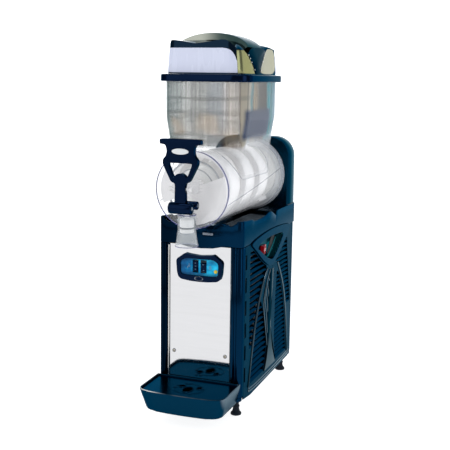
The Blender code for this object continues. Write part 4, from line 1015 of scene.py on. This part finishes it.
def deck():
    """Deck: a wall with a wavy top and a sagging front edge, and the cradle floor under the barrel."""
    path = deck_path()
    depth = np.array([y for x, y in path]) - PLATE_Y
    across = np.abs([x for x, y in path])
    top = through(depth, [(-0.002, 0.4530), (0.012, 0.4530), (0.040, 0.4505), (0.068, 0.4485),
                          (0.078, 0.4440), (0.100, 0.4425), (0.135, 0.4425), (0.165, 0.4445), (0.185, 0.4480),
                          (0.205, 0.4490), (0.220, 0.4445), (0.232, 0.4390), (0.245, 0.4335)])
    flat = across < 0.0885
    dip = through(across, [(0.0, 0.4405), (0.030, 0.4405), (0.040, 0.4440), (0.062, 0.4462), (0.072, 0.4400),
                           (0.086, 0.4490), (0.0885, 0.4530)])
    top = np.where(flat, dip, top)
    sag = through(across, [(0.0, 0.3868), (0.030, 0.3885), (0.052, 0.3935), (0.0600, 0.3950),
                           (0.0726, 0.3950), (0.0740, 0.3942)])
    low = np.where(flat, sag, 0.3942)
    piece("deck_wall", wall(path, low, top, 0.0034, 0.0014), "navy_front", "cabinet", ("top_deck",), sharp=45)
    # the cradle is navy plastic given the darker black finish: painted shade under the barrel
    piece("deck_cradle", cradle(0.0962, 0.4365, 0.0020, 0.2400, 24), "black_plastic", "cabinet",
          slot="navy_plastic")
    tab = block((0.0060, deep(-0.0024), 0.4180), (0.0310, deep(0.0010), 0.4235), 0.0006)
    piece("deck_catch", tab, "dim_chrome", "cabinet")


def housing():
    """Motor cover: low shoulders cut for the barrel, and a tall back with rounded arch and softened rims."""
    path = [(-HALF + 0.0002, y) for y in np.linspace(deep(0.4034), deep(0.2454), 34)]
    depth = np.array([y for x, y in path]) - PLATE_Y
    top = through(depth, [(0.2450, 0.4340), (0.2480, 0.4390), (0.2560, 0.4446), (0.4040, 0.4446)])
    shoulder = wall(path, 0.3944, top, 0.0030, 0.0012)
    right = [(-x, y) for x, y in path[::-1]]
    piece("housing_shoulders", [shoulder, wall(right, 0.3944, top[::-1], 0.0030, 0.0012),
                                cradle(0.0975, 0.4425, 0.2480, 0.3370, 12)], "navy_plastic", "cabinet",
          sharp=45)
    half = [(0.0996, 0.3946), (0.0996, 0.4200), (0.0996, 0.4700), (0.0996, 0.5200)]
    half += arc((0.0496, 0.5670), 0.050, 0, 90, 14)
    arch = half + [(-a, b) for a, b in half[::-1]]
    levels = [(deep(0.3384), 0.0030), (deep(0.3388), 0.0010), (deep(0.3400), 0.0), (deep(0.3930), 0.0),
              (deep(0.3980), 0.0010), (deep(0.4015), 0.0032), (deep(0.4035), 0.0070)]
    piece("housing_back", slab(arch, "Y", levels), "housing_gloss", "cabinet", ("rear_housing",), sharp=50)
    seam = [tube([(sign * 0.0997, deep(d), 0.4460) for d in np.linspace(0.3400, 0.3960, 12)], 0.0009, 6)
            for sign in (-1, 1)]
    piece("housing_seam", seam, "dark_void", "cabinet")
    # dark slabs on the back: painted shade for the vent slots
    slots = [block((-0.045, deep(0.4028), 0.470 + 0.014 * i), (0.045, deep(0.4038), 0.476 + 0.014 * i),
                   0.0003) for i in range(8)]
    piece("housing_vents", slots, "dark_void", "cabinet")


# ---- bowl ----------------------------------------------------------------------------------------------
# radius of the barrel, and the hopper's (height, half width)
BARREL_R = 0.085
HOPPER_LEVELS = [(0.530, 0.0836), (0.575, 0.0848), (0.626, 0.0890), (0.674, 0.0970), (0.763, 0.0975)]


def hopper_skin():
    """Hopper wall: the rim's plan narrows with height, and each column ends on the barrel's surface."""
    full = evened(np.array(rounded((-0.0975, deep(0.0)), (0.0975, deep(0.256)), 0.038, 9)), 0.006)
    centre = deep(0.128)

    def at(z):
        share = through(z, HOPPER_LEVELS) / 0.0975
        pull = through(z, [(0.53, 0.953), (0.575, 0.965), (0.626, 0.984), (0.674, 1.0)])
        return full[:, 0] * share, centre + (full[:, 1] - centre) * pull

    foot = np.full(len(full), 0.560)
    for _ in range(25):
        x, y = at(foot)
        rise = np.maximum((BARREL_R + 0.0006) ** 2 - x ** 2, 0.012 ** 2)
        foot = 0.5 * foot + 0.5 * (AXIS_Z + np.sqrt(rise))
    rows = []
    for s in np.linspace(0, 1, 30):
        z = foot + (0.7618 - foot) * s
        x, y = at(z)
        rows.append(np.stack([x, y, z], axis=1))
    return rows


def bowl():
    """Clear bowl: hopper, barrel with a rimmed disc, spout with a bell skirt, hinge ears and seams."""
    rows = hopper_skin()
    piece("bowl_hopper", skin(rows, caps=False), "clear_hopper", "bowl", ("bowl",),
          modifiers=[("SOLIDIFY", {"thickness": 0.0024, "offset": -1.0})])
    reach, middle, half_length = math.radians(74), 0.128, 0.119
    turn = np.concatenate([np.linspace(-reach, reach, 91), np.linspace(reach, 2 * math.pi - reach, 62)[1:-1]])
    inside = np.clip(np.abs((turn + math.pi) % (2 * math.pi) - math.pi) / reach, 0, 1)
    mouth = half_length * (1 - inside ** 5) ** 0.2
    rings_of = {"front": [], "rear": []}
    for s in np.linspace(0, 1, 26):
        for part, edge, end in (("front", middle - mouth, -0.0495), ("rear", middle + mouth, 0.3349)):
            depth = end + (edge - end) * s
            r = through(depth, [(0.3180, BARREL_R), (0.3215, 0.0872), (0.3250, 0.0912)])
            across, up = r * np.sin(turn), AXIS_Z + r * np.cos(turn)
            rings_of[part].append(np.stack([across, deep(depth), up], axis=1))
    piece("bowl_barrel", [skin(rings_of[part], caps=False) for part in ("front", "rear")], "clear_bowl",
          "bowl", modifiers=[("SOLIDIFY", {"thickness": 0.0026, "offset": -1.0})])
    disc = [(0, -0.0518), (0.0800, -0.0518), (0.0826, -0.0519), (0.0843, -0.0514), (0.0849, -0.0503),
            (0.0849, -0.0497), (0.0820, -0.0492), (0, -0.0492)]
    piece("bowl_disc", facing(lathe, disc, 96), "clear_bowl", "bowl")
    edge = [(0.0834, -0.0520), (0.0851, -0.0512), (0.0851, -0.0484), (0.0834, -0.0482)]
    # violet disc rim: painted light on the clear edge
    piece("disc_rim", facing(ring, edge, 96), "edge_violet", "bowl")
    at_spout = (0, SPOUT_Y)
    tube_wall = [(0.0200, 0.4740), (0.0203, 0.4700), (0.0199, 0.4550), (0.0195, 0.4480), (0.0200, 0.4400),
                 (0.0222, 0.4230), (0.0240, 0.4120), (0.0254, 0.4056), (0.0244, 0.4052), (0.0228, 0.4120),
                 (0.0205, 0.4240), (0.0178, 0.4400), (0.0174, 0.4480), (0.0178, 0.4740)]
    piece("spout", ring(tube_wall, "Z", at_spout, 56), "spout_frost", "bowl")
    lips = [ring([(0.0198, 0.4725), (0.0204, 0.4725), (0.0204, 0.4742), (0.0198, 0.4742)], "Z", at_spout, 56),
            ring([(0.0246, 0.4050), (0.0255, 0.4050), (0.0254, 0.4064), (0.0245, 0.4064)], "Z", at_spout, 56)]
    piece("spout_lips", lips, "edge_violet", "bowl")
    neck = block((-0.0165, deep(-0.0660), 0.4390), (0.0165, deep(-0.0518), 0.4635), 0.0010)
    ears = []
    for sign in (-1, 1):
        outline = [(deep(-0.0520), 0.5170), *arc(PIVOT[1:], 0.0100, -90, -270, 16), (deep(-0.0520), 0.5480)]
        ears.append(soft_slab(outline, "X", *span(sign, 0.0142, 0.0183), 0.0007))
    for k in range(4):
        z = 0.5200 + 0.0075 * k
        ears += [block((low, deep(-0.0570), z), (high, deep(-0.0520), z + 0.0016), 0.0004)
                 for low, high in (span(-1, 0.0185, 0.0250), span(1, 0.0185, 0.0250))]
    piece("spout_block", [neck, *ears], "clear_bowl", "bowl")
    pin = [(0, -0.0205), (0.0030, -0.0205), (0.0030, 0.0190), (0.0046, 0.0192), (0.0052, 0.0200),
           (0.0052, 0.0212), (0.0044, 0.0218), (0.0022, 0.0218), (0.0018, 0.0208), (0, 0.0208)]
    piece("pivot_pin", lathe(pin, "X", (PIVOT[1], PIVOT[2]), 28), "white_plastic", "bowl", ("tap_pivot_pin",))
    seams, seam_r = [], BARREL_R + 0.0002
    slope = list(zip(np.linspace(-0.040, 0.322, 44), np.radians(np.linspace(110, 78, 44))))
    for sign in (-1, 1):
        path = [(sign * seam_r * math.sin(a), deep(d), AXIS_Z + seam_r * math.cos(a)) for d, a in slope]
        seams.append(tube(path, 0.0009, 6))
        foot = [(sign * abs(x), y, z) for x, y, z in rows[0] if x * sign > 0.045]
        foot = sorted(foot, key=lambda p: p[1])
        seams.append(tube([(x * 1.004, y, z) for x, y, z in foot[::2]], 0.0008, 6))
    emboss = [(0.0085, 0.6075), (0.0100, 0.6082), (0.0108, 0.6078), (0.0102, 0.6070), (0.0088, 0.6070)]
    seams.append(ring(emboss, "Z", (0.004, deep(-0.024)), 40))
    piece("bowl_seams", seams, "edge_clear", "bowl")
    collar = [(0.0862, 0.3190), (0.0913, 0.3235), (0.0915, 0.3330), (0.0915, 0.3349), (0.0880, 0.3349),
              (0.0862, 0.3240)]
    piece("bowl_collar", facing(ring, collar, 96), "edge_clear", "bowl")


# ---- drum and auger ------------------------------------------------------------------------------------
def freezing_drum():
    """Steel drum with a domed front, turned about the barrel's axis."""
    profile = [(0.0080, 0.0), (0.0400, 0.0), (0.0452, 0.0012), (0.0490, 0.0045), (0.0510, 0.0095),
               (0.0510, 0.3350), (0.0680, 0.3352), (0.0680, 0.3376), (0.0080, 0.3376)]
    piece("freezing_drum", facing(ring, profile, 72), "bright_steel", "cabinet", ("evaporator_drum",),
          sharp=30)


def scroll():
    """White helix: a round-edged band carried round the drum, a hub, and the front scraper."""
    steps, pitch, band, length = 72, 0.100, 0.062, 0.366
    count = int((length - band) / pitch * steps)
    rows = []
    section = [(0.0660, -0.5), (0.0700, -0.5), (0.0758, -0.5), (0.0778, -0.485), (0.0786, -0.45),
               (0.0789, -0.2), (0.0789, 0.2), (0.0786, 0.45), (0.0778, 0.485), (0.0758, 0.5), (0.0700, 0.5),
               (0.0660, 0.5), (0.0685, 0.40), (0.0690, 0.0), (0.0685, -0.40)]
    for i in range(count + 1):
        angle = 2 * math.pi * i / steps + math.radians(-60)
        middle = -0.040 + band / 2 + pitch * i / steps
        rows.append([(r * math.cos(angle), deep(middle + s * band), AXIS_Z + r * math.sin(angle))
                     for r, s in section])
    helix = skin(rows)
    blades = []
    for radius, tip, first, last, steps, start, end in (
            (0.0770, (-0.0041, 0.0023), -84, 24, 24, -0.0440, -0.0372),
            (0.0765, (0.0037, -0.0019), 150, 205, 14, -0.0438, -0.0374)):
        wedge = [(tip[0], AXIS_Z + tip[1]), *arc((0, AXIS_Z), radius, first, last, steps)]
        blades.append(slab(wedge, "Y", [(deep(start), 0.0006), (deep(start + 0.0004), 0.0),
                                        (deep(end - 0.0004), 0.0), (deep(end), 0.0006)]))
    hub = [(0, -0.0436), (0.0150, -0.0436), (0.0172, -0.0430), (0.0182, -0.0412), (0.0190, -0.0150),
           (0.0172, -0.0100), (0.0150, -0.0085), (0, -0.0085)]
    hub = facing(lathe, hub, 48)
    strut = block((-0.0740, deep(-0.0420), AXIS_Z - 0.0095), (-0.0650, deep(0.0790), AXIS_Z + 0.0095), 0.0020)
    piece("scroll", [helix, *blades, hub, strut], "white_plastic", "auger", ("auger",), sharp=42)
    nose = [(0, -0.0482), (0.0040, -0.0481), (0.0080, -0.0474), (0.0106, -0.0460), (0.0122, -0.0446),
            (0, -0.0444)]
    piece("scroll_nose", facing(lathe, nose, 40), "white_plastic", "auger", ("auger_nose",))
    rings = [facing(ring, [(r, -0.0366), (r + w, -0.0368), (r + w, -0.0352), (r, -0.0352)], 72)
             for r, w in ((0.0600, 0.0040), (0.0430, 0.0026))]
    piece("scroll_rings", rings, "ring_grey", "auger")


# ---- lid -----------------------------------------------------------------------------------------------
def lid_rim():
    """Gloss lid tray: round-cornered plan, its rim rolled over above and below, hollow below."""
    plan = rounded((-0.1070, deep(-0.010)), (0.1070, deep(0.270)), 0.040, 12)
    outer = [(0.7530, 0.0030), (0.7532, 0.0012), (0.7545, 0.0002), (0.7560, 0.0), (0.7655, 0.0),
             (0.7675, 0.0006), (0.7686, 0.0020), (0.7690, 0.0045)]
    inner = [(0.7644, 0.0069), (0.7536, 0.0067), (0.7531, 0.0050)]
    rows = [[lift(p, "Z", z) for p in inset(plan, a)] for z, a in inner + outer]
    piece("lid_tray", skin(rows), "black_plastic", "lid", ("lid",), sharp=50)


CANOPY_HALF, CANOPY_RADIUS = 0.0895, 0.028


def canopy_plan(spacing=0.005):
    """Plan of the canopy with evenly spaced points."""
    corners = [p for p in rounded((-CANOPY_HALF, deep(0.0)), (CANOPY_HALF, deep(0.200)), CANOPY_RADIUS, 8)
               if p[1] < deep(0.100)]
    rear = [p for p in rounded((-CANOPY_HALF, deep(0.050)), (CANOPY_HALF, deep(0.256)), 0.010, 4)
            if p[1] > deep(0.100)]
    corners = np.array(sorted(corners + rear, key=lambda p: math.atan2(p[1] - deep(0.100), p[0])))
    return evened(corners, spacing)


def lean(x, z):
    """The canopy's sides lean inwards by a twentieth over its height."""
    return x * (1.0 - 0.050 * np.clip((z - 0.770) / 0.056, 0, 1.3))


def leaned(shape, sign=1):
    """The shape leaning with the canopy's sides; sign -1 also puts it on the other side."""
    points = np.array(shape[0])
    points[:, 0] = sign * lean(points[:, 0], points[:, 2])
    return points, shape[1]


def canopy():
    """Lid canopy: a gloss shell with a wavy brow, side cheeks, an arched strap and two V legs."""
    plan = canopy_plan()
    centre = np.array([0.0, deep(0.128)])
    depth = plan[:, 1] - PLATE_Y
    brow = through(plan[:, 0], [(-0.088, 0.8370), (-0.082, 0.8405), (-0.075, 0.8420), (-0.050, 0.8395),
                                (-0.018, 0.8342), (0.020, 0.8385), (0.045, 0.8422), (0.058, 0.8420),
                                (0.068, 0.8370), (0.078, 0.8270), (0.085, 0.8170)])
    side_top = through(depth, [(0.0, 0.8300), (0.010, 0.8220), (0.028, 0.8190), (0.052, 0.8100),
                               (0.094, 0.7990), (0.130, 0.7990), (0.176, 0.8230), (0.207, 0.8330),
                               (0.256, 0.8270)])
    left = through(depth, [(0.0, 0.8370), (0.020, 0.8340), (0.052, 0.8150), (0.094, 0.7990)])
    side_top = np.where((plan[:, 0] < 0) & (depth < 0.107), left, side_top)
    edge = np.where(depth < 0.012, brow, side_top)
    rows = []
    for share in np.linspace(0, 1, 12):
        z = 0.7694 + (edge - 0.7694) * share
        rows.append(np.stack([lean(plan[:, 0], z), plan[:, 1], z], axis=1))
    for share, lift_up in ((0.985, 0.10), (0.955, 0.25), (0.90, 0.45), (0.75, 0.75), (0.5, 0.95), (0.2, 1.0)):
        flat = centre + (plan - centre) * share
        rise = through(flat[:, 1] - PLATE_Y, [(0.0, 0.8380), (0.060, 0.8440), (0.128, 0.8480),
                                              (0.190, 0.8400), (0.256, 0.8290)])
        z = edge * (1 - lift_up) + rise * lift_up
        rows.append(np.stack([lean(flat[:, 0], z), flat[:, 1], z], axis=1))
    piece("canopy_shell", skin(rows), "canopy_gloss", "lid", ("lid_canopy",), sharp=50)
    rows = []
    for t in np.linspace(-1, 1, 61):
        x = 0.0835 * math.sin(t * math.pi / 2)
        z = 0.8285 + 0.0310 * math.cos(t * math.pi / 2) ** 1.15
        front = through(abs(t), [(0, 0.0620), (0.6, 0.0590), (1, 0.0540)])
        back = through(abs(t), [(0, 0.1420), (0.6, 0.1440), (1, 0.1500)])
        normal = np.array([x * 0.55, z - 0.79])
        normal = normal / np.linalg.norm(normal)
        section = []
        for share, out in ((0.0, -0.0150), (0.0, -0.0006), (0.02, 0.0), (0.06, 0.0004), (0.50, 0.0006),
                           (0.94, 0.0004), (0.98, 0.0), (1.0, -0.0006), (1.0, -0.0150), (0.5, -0.0155)):
            section.append((x + normal[0] * out, deep(front + (back - front) * share), z + normal[1] * out))
        rows.append(section)
    piece("canopy_arch", skin(rows), "arch_gloss", "lid", sharp=45)
    legs, cheeks = [], []
    for sign in (-1, 1):
        leg = softened([(0.0950, 0.7705), (0.1290, 0.7705), (0.1350, 0.7840), (0.1510, 0.8010),
                        (0.1760, 0.8230), (0.1570, 0.8285), (0.1310, 0.8295), (0.0770, 0.8285),
                        (0.0510, 0.8120), (0.0710, 0.7990), (0.0870, 0.7850)], times=2)
        legs.append(leaned(side_slab(leg, 1, CANOPY_HALF - 0.0060, CANOPY_HALF + 0.0012), sign))
        front_cheek = softened([(0.0262, 0.7712), (0.0915, 0.7712), (0.0840, 0.7860), (0.0670, 0.7990),
                                (0.0510, 0.8110), (0.0300, 0.8190), (0.0262, 0.8200)], times=1, share=0.05)
        rear_cheek = softened([(0.1330, 0.7712), (0.2430, 0.7712), (0.2430, 0.8270), (0.1950, 0.8300),
                               (0.1770, 0.8210), (0.1590, 0.8040), (0.1390, 0.7860)], times=2)
        cheeks += [leaned(side_slab(outline, 1, CANOPY_HALF - 0.0020, CANOPY_HALF + 0.0005), sign)
                   for outline in (front_cheek, rear_cheek)]
        corner = [(sign * x, y) for x, y in arc((CANOPY_HALF - CANOPY_RADIUS, deep(CANOPY_RADIUS)),
                                                CANOPY_RADIUS + 0.0005, -49 if sign > 0 else -12, -1, 12)]
        cheeks.append(leaned(wall(corner[::sign], 0.7712, 0.8205, 0.0020, 0.0003)))
    piece("canopy_legs", legs, "leg_gloss", "lid")
    piece("canopy_cheeks", cheeks, "cheek_bronze", "lid")
    studs = []
    for sign in (-1, 1):
        for d, z in ((0.0540, 0.8110), (0.0630, 0.8040), (0.0720, 0.7960), (0.0890, 0.7800), (0.1680, 0.8160),
                     (0.1590, 0.8080), (0.1500, 0.7990), (0.1420, 0.7890), (0.1350, 0.7790)):
            at = lean(CANOPY_HALF, z) + 0.0009
            head = [(0, sign * at), (0.0015, sign * (at + 0.0006)), (0.0012, sign * (at + 0.0014)),
                    (0, sign * (at + 0.0016))]
            studs.append(lathe(head, "X", (deep(d), z), 12))
    piece("canopy_studs", studs, "stud_white", "lid")


def light_path():
    """Plan path of the front light: right side, both front corners and the left side."""
    y, r, half = deep(-0.0010), CANOPY_RADIUS + 0.0010, CANOPY_HALF + 0.0010
    middle = [(x, y) for x in np.linspace(r - half + 0.003, half - r - 0.003, 36)]
    return [*arc((r - half, y + r), r, 193, 270, 18), *middle, *arc((half - r, y + r), r, -90, -50, 16)]


def lid_lights():
    """Front light: a wall round the canopy's front whose top rounds off on the right; rear light: a slab."""
    path = light_path()
    across = [x for x, y in path]
    top = through(across, [(0.0500, 0.8250), (0.0600, 0.8238), (0.0680, 0.8205), (0.0730, 0.8160),
                           (0.0765, 0.8100), (0.0785, 0.8040), (0.0795, 0.7980)])
    piece("front_light", leaned(wall(path, 0.7722, top, 0.0036, 0.0012)), "lamp_diffuser", "lid",
          ("lid_front_light",), sharp=50)
    rear = [soft_slab(rounded((-0.0590, 0.7730), (0.0590, 0.8150), 0.006, 5), "Y", deep(0.2536), deep(0.2566),
                      0.0008)]
    for sign in (-1, 1):
        strip = rounded((0.2450, 0.7730), (0.2530, 0.8130), 0.003, 4)
        rear.append(leaned(side_slab(strip, sign, CANOPY_HALF - 0.004, CANOPY_HALF + 0.0003)))
    piece("rear_light", rear, "lamp_diffuser", "lid", ("lid_rear_light",), sharp=50)


# ---- tap -----------------------------------------------------------------------------------------------
def pull_handle():
    """Moulded pull handle: flat outline with softened corners and rolled rims, on a round cross grip."""
    half = [(0, 0.4985), (0.0125, 0.4985), (0.0118, 0.5200), (0.0113, 0.5440), (0.0205, 0.5465),
            (0.0300, 0.5650), (0.0394, 0.5830), (0.0396, 0.5930), (0.0330, 0.6000), (0.0306, 0.6080),
            (0.0310, 0.6150), (0.0335, 0.6230), (0.0400, 0.6248), (0.0462, 0.6250), (0.0466, 0.6300),
            (0.0462, 0.6362), (0.0200, 0.6366), (0, 0.6366)]
    window = [(0.0268, 0.5838), (0.0250, 0.5862), (-0.0250, 0.5862), (-0.0268, 0.5838), (-0.0215, 0.5700),
              (-0.0165, 0.5575), (-0.0140, 0.5562)]
    window += arc((0, 0.5500), 0.0150, 150, 30, 9)
    window += [(0.0140, 0.5562), (0.0165, 0.5575), (0.0215, 0.5700)]
    plate("pull_handle", softened(mirrored(half), times=2), "Y", deep(-0.1160), deep(-0.1042),
          "black_plastic", "handle", [softened(window, times=1)], 0.0019, ("tap_handle",), 3)
    grip = [(0, -0.0254), (0.0078, -0.0257), (0.0104, -0.0256), (0.0118, -0.0248), (0.0125, -0.0232),
            (0.0125, 0.0232), (0.0118, 0.0248), (0.0104, 0.0256), (0.0078, 0.0257), (0, 0.0254)]
    prong = [(-0.1050, 0.4800), (-0.0740, 0.4792), (-0.0700, 0.4830), (-0.1050, 0.4846)]
    fork = [side_slab(prong, sign, 0.0090, 0.0125, 0.0004) for sign in (-1, 1)]
    piece("handle_grip", [lathe(grip, "X", (deep(-0.1110), 0.4915), 44), *fork], "black_plastic", "handle")
    caps = lathe([(0, 0.0255), (0.0042, 0.0256), (0.0040, 0.0263), (0, 0.0264)], "X", (deep(-0.1110), 0.4915),
                 24)
    piece("grip_cap", caps, "dim_chrome", "handle")
    plaque = Matrix.Translation((0, 0, 0.6105)) @ Matrix.Scale(0.33, 4, (0, 0, 1))
    profile = [(0, -0.1174), (0.0120, -0.1173), (0.0172, -0.1170), (0.0187, -0.1164), (0.0190, -0.1160),
               (0, -0.1160)]
    piece("handle_plaque", moved(facing(lathe, profile, 48, (0, 0)), plaque), "silver_badge", "handle",
          ("handle_badge",))


def plunger():
    """White piston in the spout with its seal, and the black cross bar with bright ends."""
    profile = [(0, 0.4350), (0.0138, 0.4350), (0.0148, 0.4358), (0.0150, 0.4370), (0.0150, 0.4426),
               (0.0132, 0.4431), (0.0132, 0.4469), (0.0150, 0.4474), (0.0150, 0.4630), (0.0140, 0.4638),
               (0.0050, 0.4668), (0.0044, 0.4846), (0, 0.4846)]
    piece("plunger", lathe(profile, "Z", (0, SPOUT_Y), 44), "white_plastic", "piston", ("tap_piston",))
    bar = [(0, -0.0246), (0.0066, -0.0249), (0.0083, -0.0244), (0.0090, -0.0230), (0.0090, 0.0230),
           (0.0083, 0.0244), (0.0066, 0.0249), (0, 0.0246)]
    piece("plunger_bar", lathe(bar, "X", (SPOUT_Y, 0.4940), 36), "black_plastic", "piston", ("piston_bar",))
    cap = lathe([(0, 0.0248), (0.0040, 0.0248), (0.0038, 0.0256), (0, 0.0257)], "X", (SPOUT_Y, 0.4940), 24)
    piece("plunger_cap", cap, "dim_chrome", "piston")


# ---- drip tray -----------------------------------------------------------------------------------------
def tray_plan(half_x, front, back, bow, radius):
    """Tray outline: square back, round front corners, the front bowed by bow times 1 - (x/half)^2."""
    points = [(half_x, deep(back)), (-half_x, deep(back))]
    points += arc((radius - half_x, deep(front) + radius), radius, 180, 262, 9)
    for x in np.linspace(-half_x + radius, half_x - radius, 23)[1:-1]:
        points.append((x, deep(front) - bow * (1 - (x / half_x) ** 2)))
    points += arc((half_x - radius, deep(front) + radius), radius, -82, 0, 9)
    even = []
    for k in range(len(points)):
        a, b = np.array(points[k - 1]), np.array(points[k])
        steps = 20 if k < 3 else 1
        even += [a + (b - a) * (s + 1) / steps for s in range(steps)]
    return even


def tray():
    """Drip tray: walls lean out from a rounded sole to a rolled rim, then drop to the inner floor."""
    rings = []
    for z, half_x, front, back, bow, radius in ((0.0332, 0.0800, -0.0960, -0.0120, 0.006, 0.022),
                                                (0.0338, 0.0868, -0.1020, -0.0050, 0.006, 0.023),
                                                (0.0358, 0.0896, -0.1052, -0.0030, 0.006, 0.024),
                                                (0.0395, 0.0912, -0.1072, -0.0026, 0.006, 0.024),
                                                (0.0550, 0.0948, -0.1112, -0.0026, 0.006, 0.024),
                                                (0.0700, 0.0982, -0.1150, -0.0026, 0.0065, 0.023),
                                                (0.0805, 0.1003, -0.1173, -0.0026, 0.007, 0.022),
                                                (0.0832, 0.1009, -0.1179, -0.0026, 0.007, 0.022),
                                                (0.0843, 0.1004, -0.1174, -0.0030, 0.007, 0.022),
                                                (0.0845, 0.0990, -0.1160, -0.0040, 0.007, 0.021),
                                                (0.0841, 0.0975, -0.1146, -0.0052, 0.0065, 0.0205),
                                                (0.0826, 0.0968, -0.1140, -0.0056, 0.006, 0.020),
                                                (0.0766, 0.0962, -0.1135, -0.0056, 0.006, 0.020),
                                                (0.0764, 0.0936, -0.1118, -0.0060, 0.006, 0.020),
                                                (0.0600, 0.0905, -0.1078, -0.0060, 0.006, 0.020),
                                                (0.0420, 0.0872, -0.1034, -0.0062, 0.006, 0.021),
                                                (0.0400, 0.0850, -0.1010, -0.0080, 0.006, 0.021)):
        plan = tray_plan(half_x, front, back, bow, radius)
        rings.append([(x, y, z) for x, y in plan])
    # a rim tube along the tray's front carries a pale painted highlight on its left
    rim = tray_plan(0.0999, -0.1168, -0.0034, 0.007, 0.0215)
    rim = [(x, y, 0.0845) for x, y in rim if y < deep(-0.0050)]
    rim = sorted(rim, key=lambda p: (math.atan2(p[0], deep(-0.0050) - p[1] + 0.001)))
    piece("tray_rim_highlight", tube(rim, 0.0011, 8), "edge_light", "tray")
    # tray body: painted reflection on its right wall
    piece("tray_body", skin(rings), "tray_gloss", "tray", ("drip_tray",), sharp=55)


def grid():
    """Grid plate with its drain holes, a raised collar round each, and a low moulded step."""
    drains = [(0.0010, -0.0685, 0.0098, 0.0170, 28), (-0.0190, -0.0520, 0.0062, 0.0075, 20),
              (0.0230, -0.0520, 0.0062, 0.0075, 20)]
    holes = [oval((x, deep(d)), a, b, steps) for x, d, a, b, steps in drains]
    plan = [tuple(p) for p in tray_plan(0.0956, -0.1129, -0.0062, 0.006, 0.0195)]
    plate("grid_plate", plan, "Z", 0.0771, 0.0806, "navy_plastic", "grid", holes, 0.0007, ("drip_grid",), 2)
    rims = []
    for x, d, a, b, steps, z, radius in ((0.0010, -0.0685, 0.0112, 0.0184, 40, 0.0806, 0.0013),
                                         (-0.0190, -0.0520, 0.0074, 0.0087, 40, 0.0806, 0.0013),
                                         (0.0230, -0.0520, 0.0074, 0.0087, 40, 0.0806, 0.0013),
                                         (0.0010, -0.0640, 0.0345, 0.0300, 60, 0.0804, 0.0010)):
        loop = oval((x, deep(d)), a, b, steps)
        rims.append(tube([(*p, z) for p in loop + loop[:1]], radius, 8))
    for x, d in ((-0.031, -0.063), (-0.019, -0.030), (-0.008, -0.029), (0.016, -0.093), (0.031, -0.053)):
        rims.append(lathe([(0, 0.0800), (0.0040, 0.0803), (0.0034, 0.0818), (0, 0.0824)], "Z", (x, deep(d)),
                          16))
    piece("grid_rims", rims, "navy_plastic", "grid")


# ---- light and camera ----------------------------------------------------------------------------------
def studio():
    """White floor and backdrop, a soft key on the left, a side light on the right and a broad top light."""
    def glow(name, colour, strength):
        paint = Paint(name)
        paint.preset(Emission_Strength=strength)
        return paint.finish(Base_Color=colour, Emission_Color=(1.0, 1.0, 1.0), Roughness=0.9)

    def sheet(name, corners, material):
        data = bpy.data.meshes.new(name)
        data.from_pydata(corners, [], [(0, 1, 2, 3)])
        data.materials.append(material)
        made = bpy.data.objects.new(name, data)
        bpy.context.scene.collection.objects.link(made)

    sheet("floor", [(-6, -6, 0), (6, -6, 0), (6, 5, 0), (-6, 5, 0)],
          glow("pale_floor", (0.45, 0.45, 0.45), 0.86))
    sheet("backdrop", [(-9, 5, -0.5), (9, 5, -0.5), (9, 5, 7), (-9, 5, 7)],
          glow("backdrop", (0.8, 0.8, 0.8), 1.0))
    world = bpy.data.worlds.new("studio")
    world.use_nodes = True
    background = world.node_tree.nodes["Background"]
    background.inputs["Color"].default_value = (0.72, 0.78, 0.84, 1.0)
    background.inputs["Strength"].default_value = 0.55
    bpy.context.scene.world = world
    for name, place, size, power, colour in (
            ("key", (-1.6, -2.4, 1.9), (3.4, 3.4), 44, (1.0, 0.99, 0.97)),
            ("side", (2.4, -0.6, 1.1), (1.0, 1.6), 10, (0.92, 0.97, 1.0)),
            ("top", (0.0, 0.2, 2.6), (1.8, 1.8), 34, (1.0, 1.0, 1.0))):
        lamp = bpy.data.lights.new(name, "AREA")
        lamp.shape, lamp.size, lamp.size_y = "RECTANGLE", *size
        lamp.energy, lamp.color = power, colour
        made = bpy.data.objects.new(name, lamp)
        made.location = place
        made.rotation_euler = (Vector((0, 0, 0.42)) - Vector(place)).to_track_quat("-Z", "Y").to_euler()
        bpy.context.scene.collection.objects.link(made)


def camera():
    """Long-lens view from the right and a little above, rolled a hair."""
    azimuth, elevation, roll = math.radians(20.39), math.radians(9.5), math.radians(0.78)
    right = Vector((math.cos(azimuth), math.sin(azimuth), 0))
    ahead = Vector((-math.sin(azimuth) * math.cos(elevation), math.cos(azimuth) * math.cos(elevation),
                    -math.sin(elevation)))
    up = right.cross(ahead)
    axis_x = right * math.cos(roll) + up * math.sin(roll)
    axis_y = up * math.cos(roll) - right * math.sin(roll)
    lens = bpy.data.cameras.new("view")
    lens.lens, lens.sensor_width, lens.sensor_fit = 70.15, 36.0, "HORIZONTAL"
    eye = bpy.data.objects.new("view", lens)
    frame_axes = Matrix((axis_x, axis_y, -ahead)).transposed().to_4x4()
    eye.matrix_world = Matrix.Translation((0.7190, -1.9176, 0.7609)) @ frame_axes
    bpy.context.scene.collection.objects.link(eye)
    bpy.context.scene.camera = eye


# ---- all pieces, then light and camera -----------------------------------------------------------------
feet()
posts()
for side in SIDES:
    louvre_cover(*side)
    cover_ribs(*side)
for side in SIDES:
    hand_recess(*side)
power_key()
front()
deck()
housing()
bowl()
freezing_drum()
scroll()
lid_rim()
canopy()
lid_lights()
pull_handle()
plunger()
tray()
grid()
studio()
camera()
bpy.context.scene.view_settings.view_transform = "Standard"
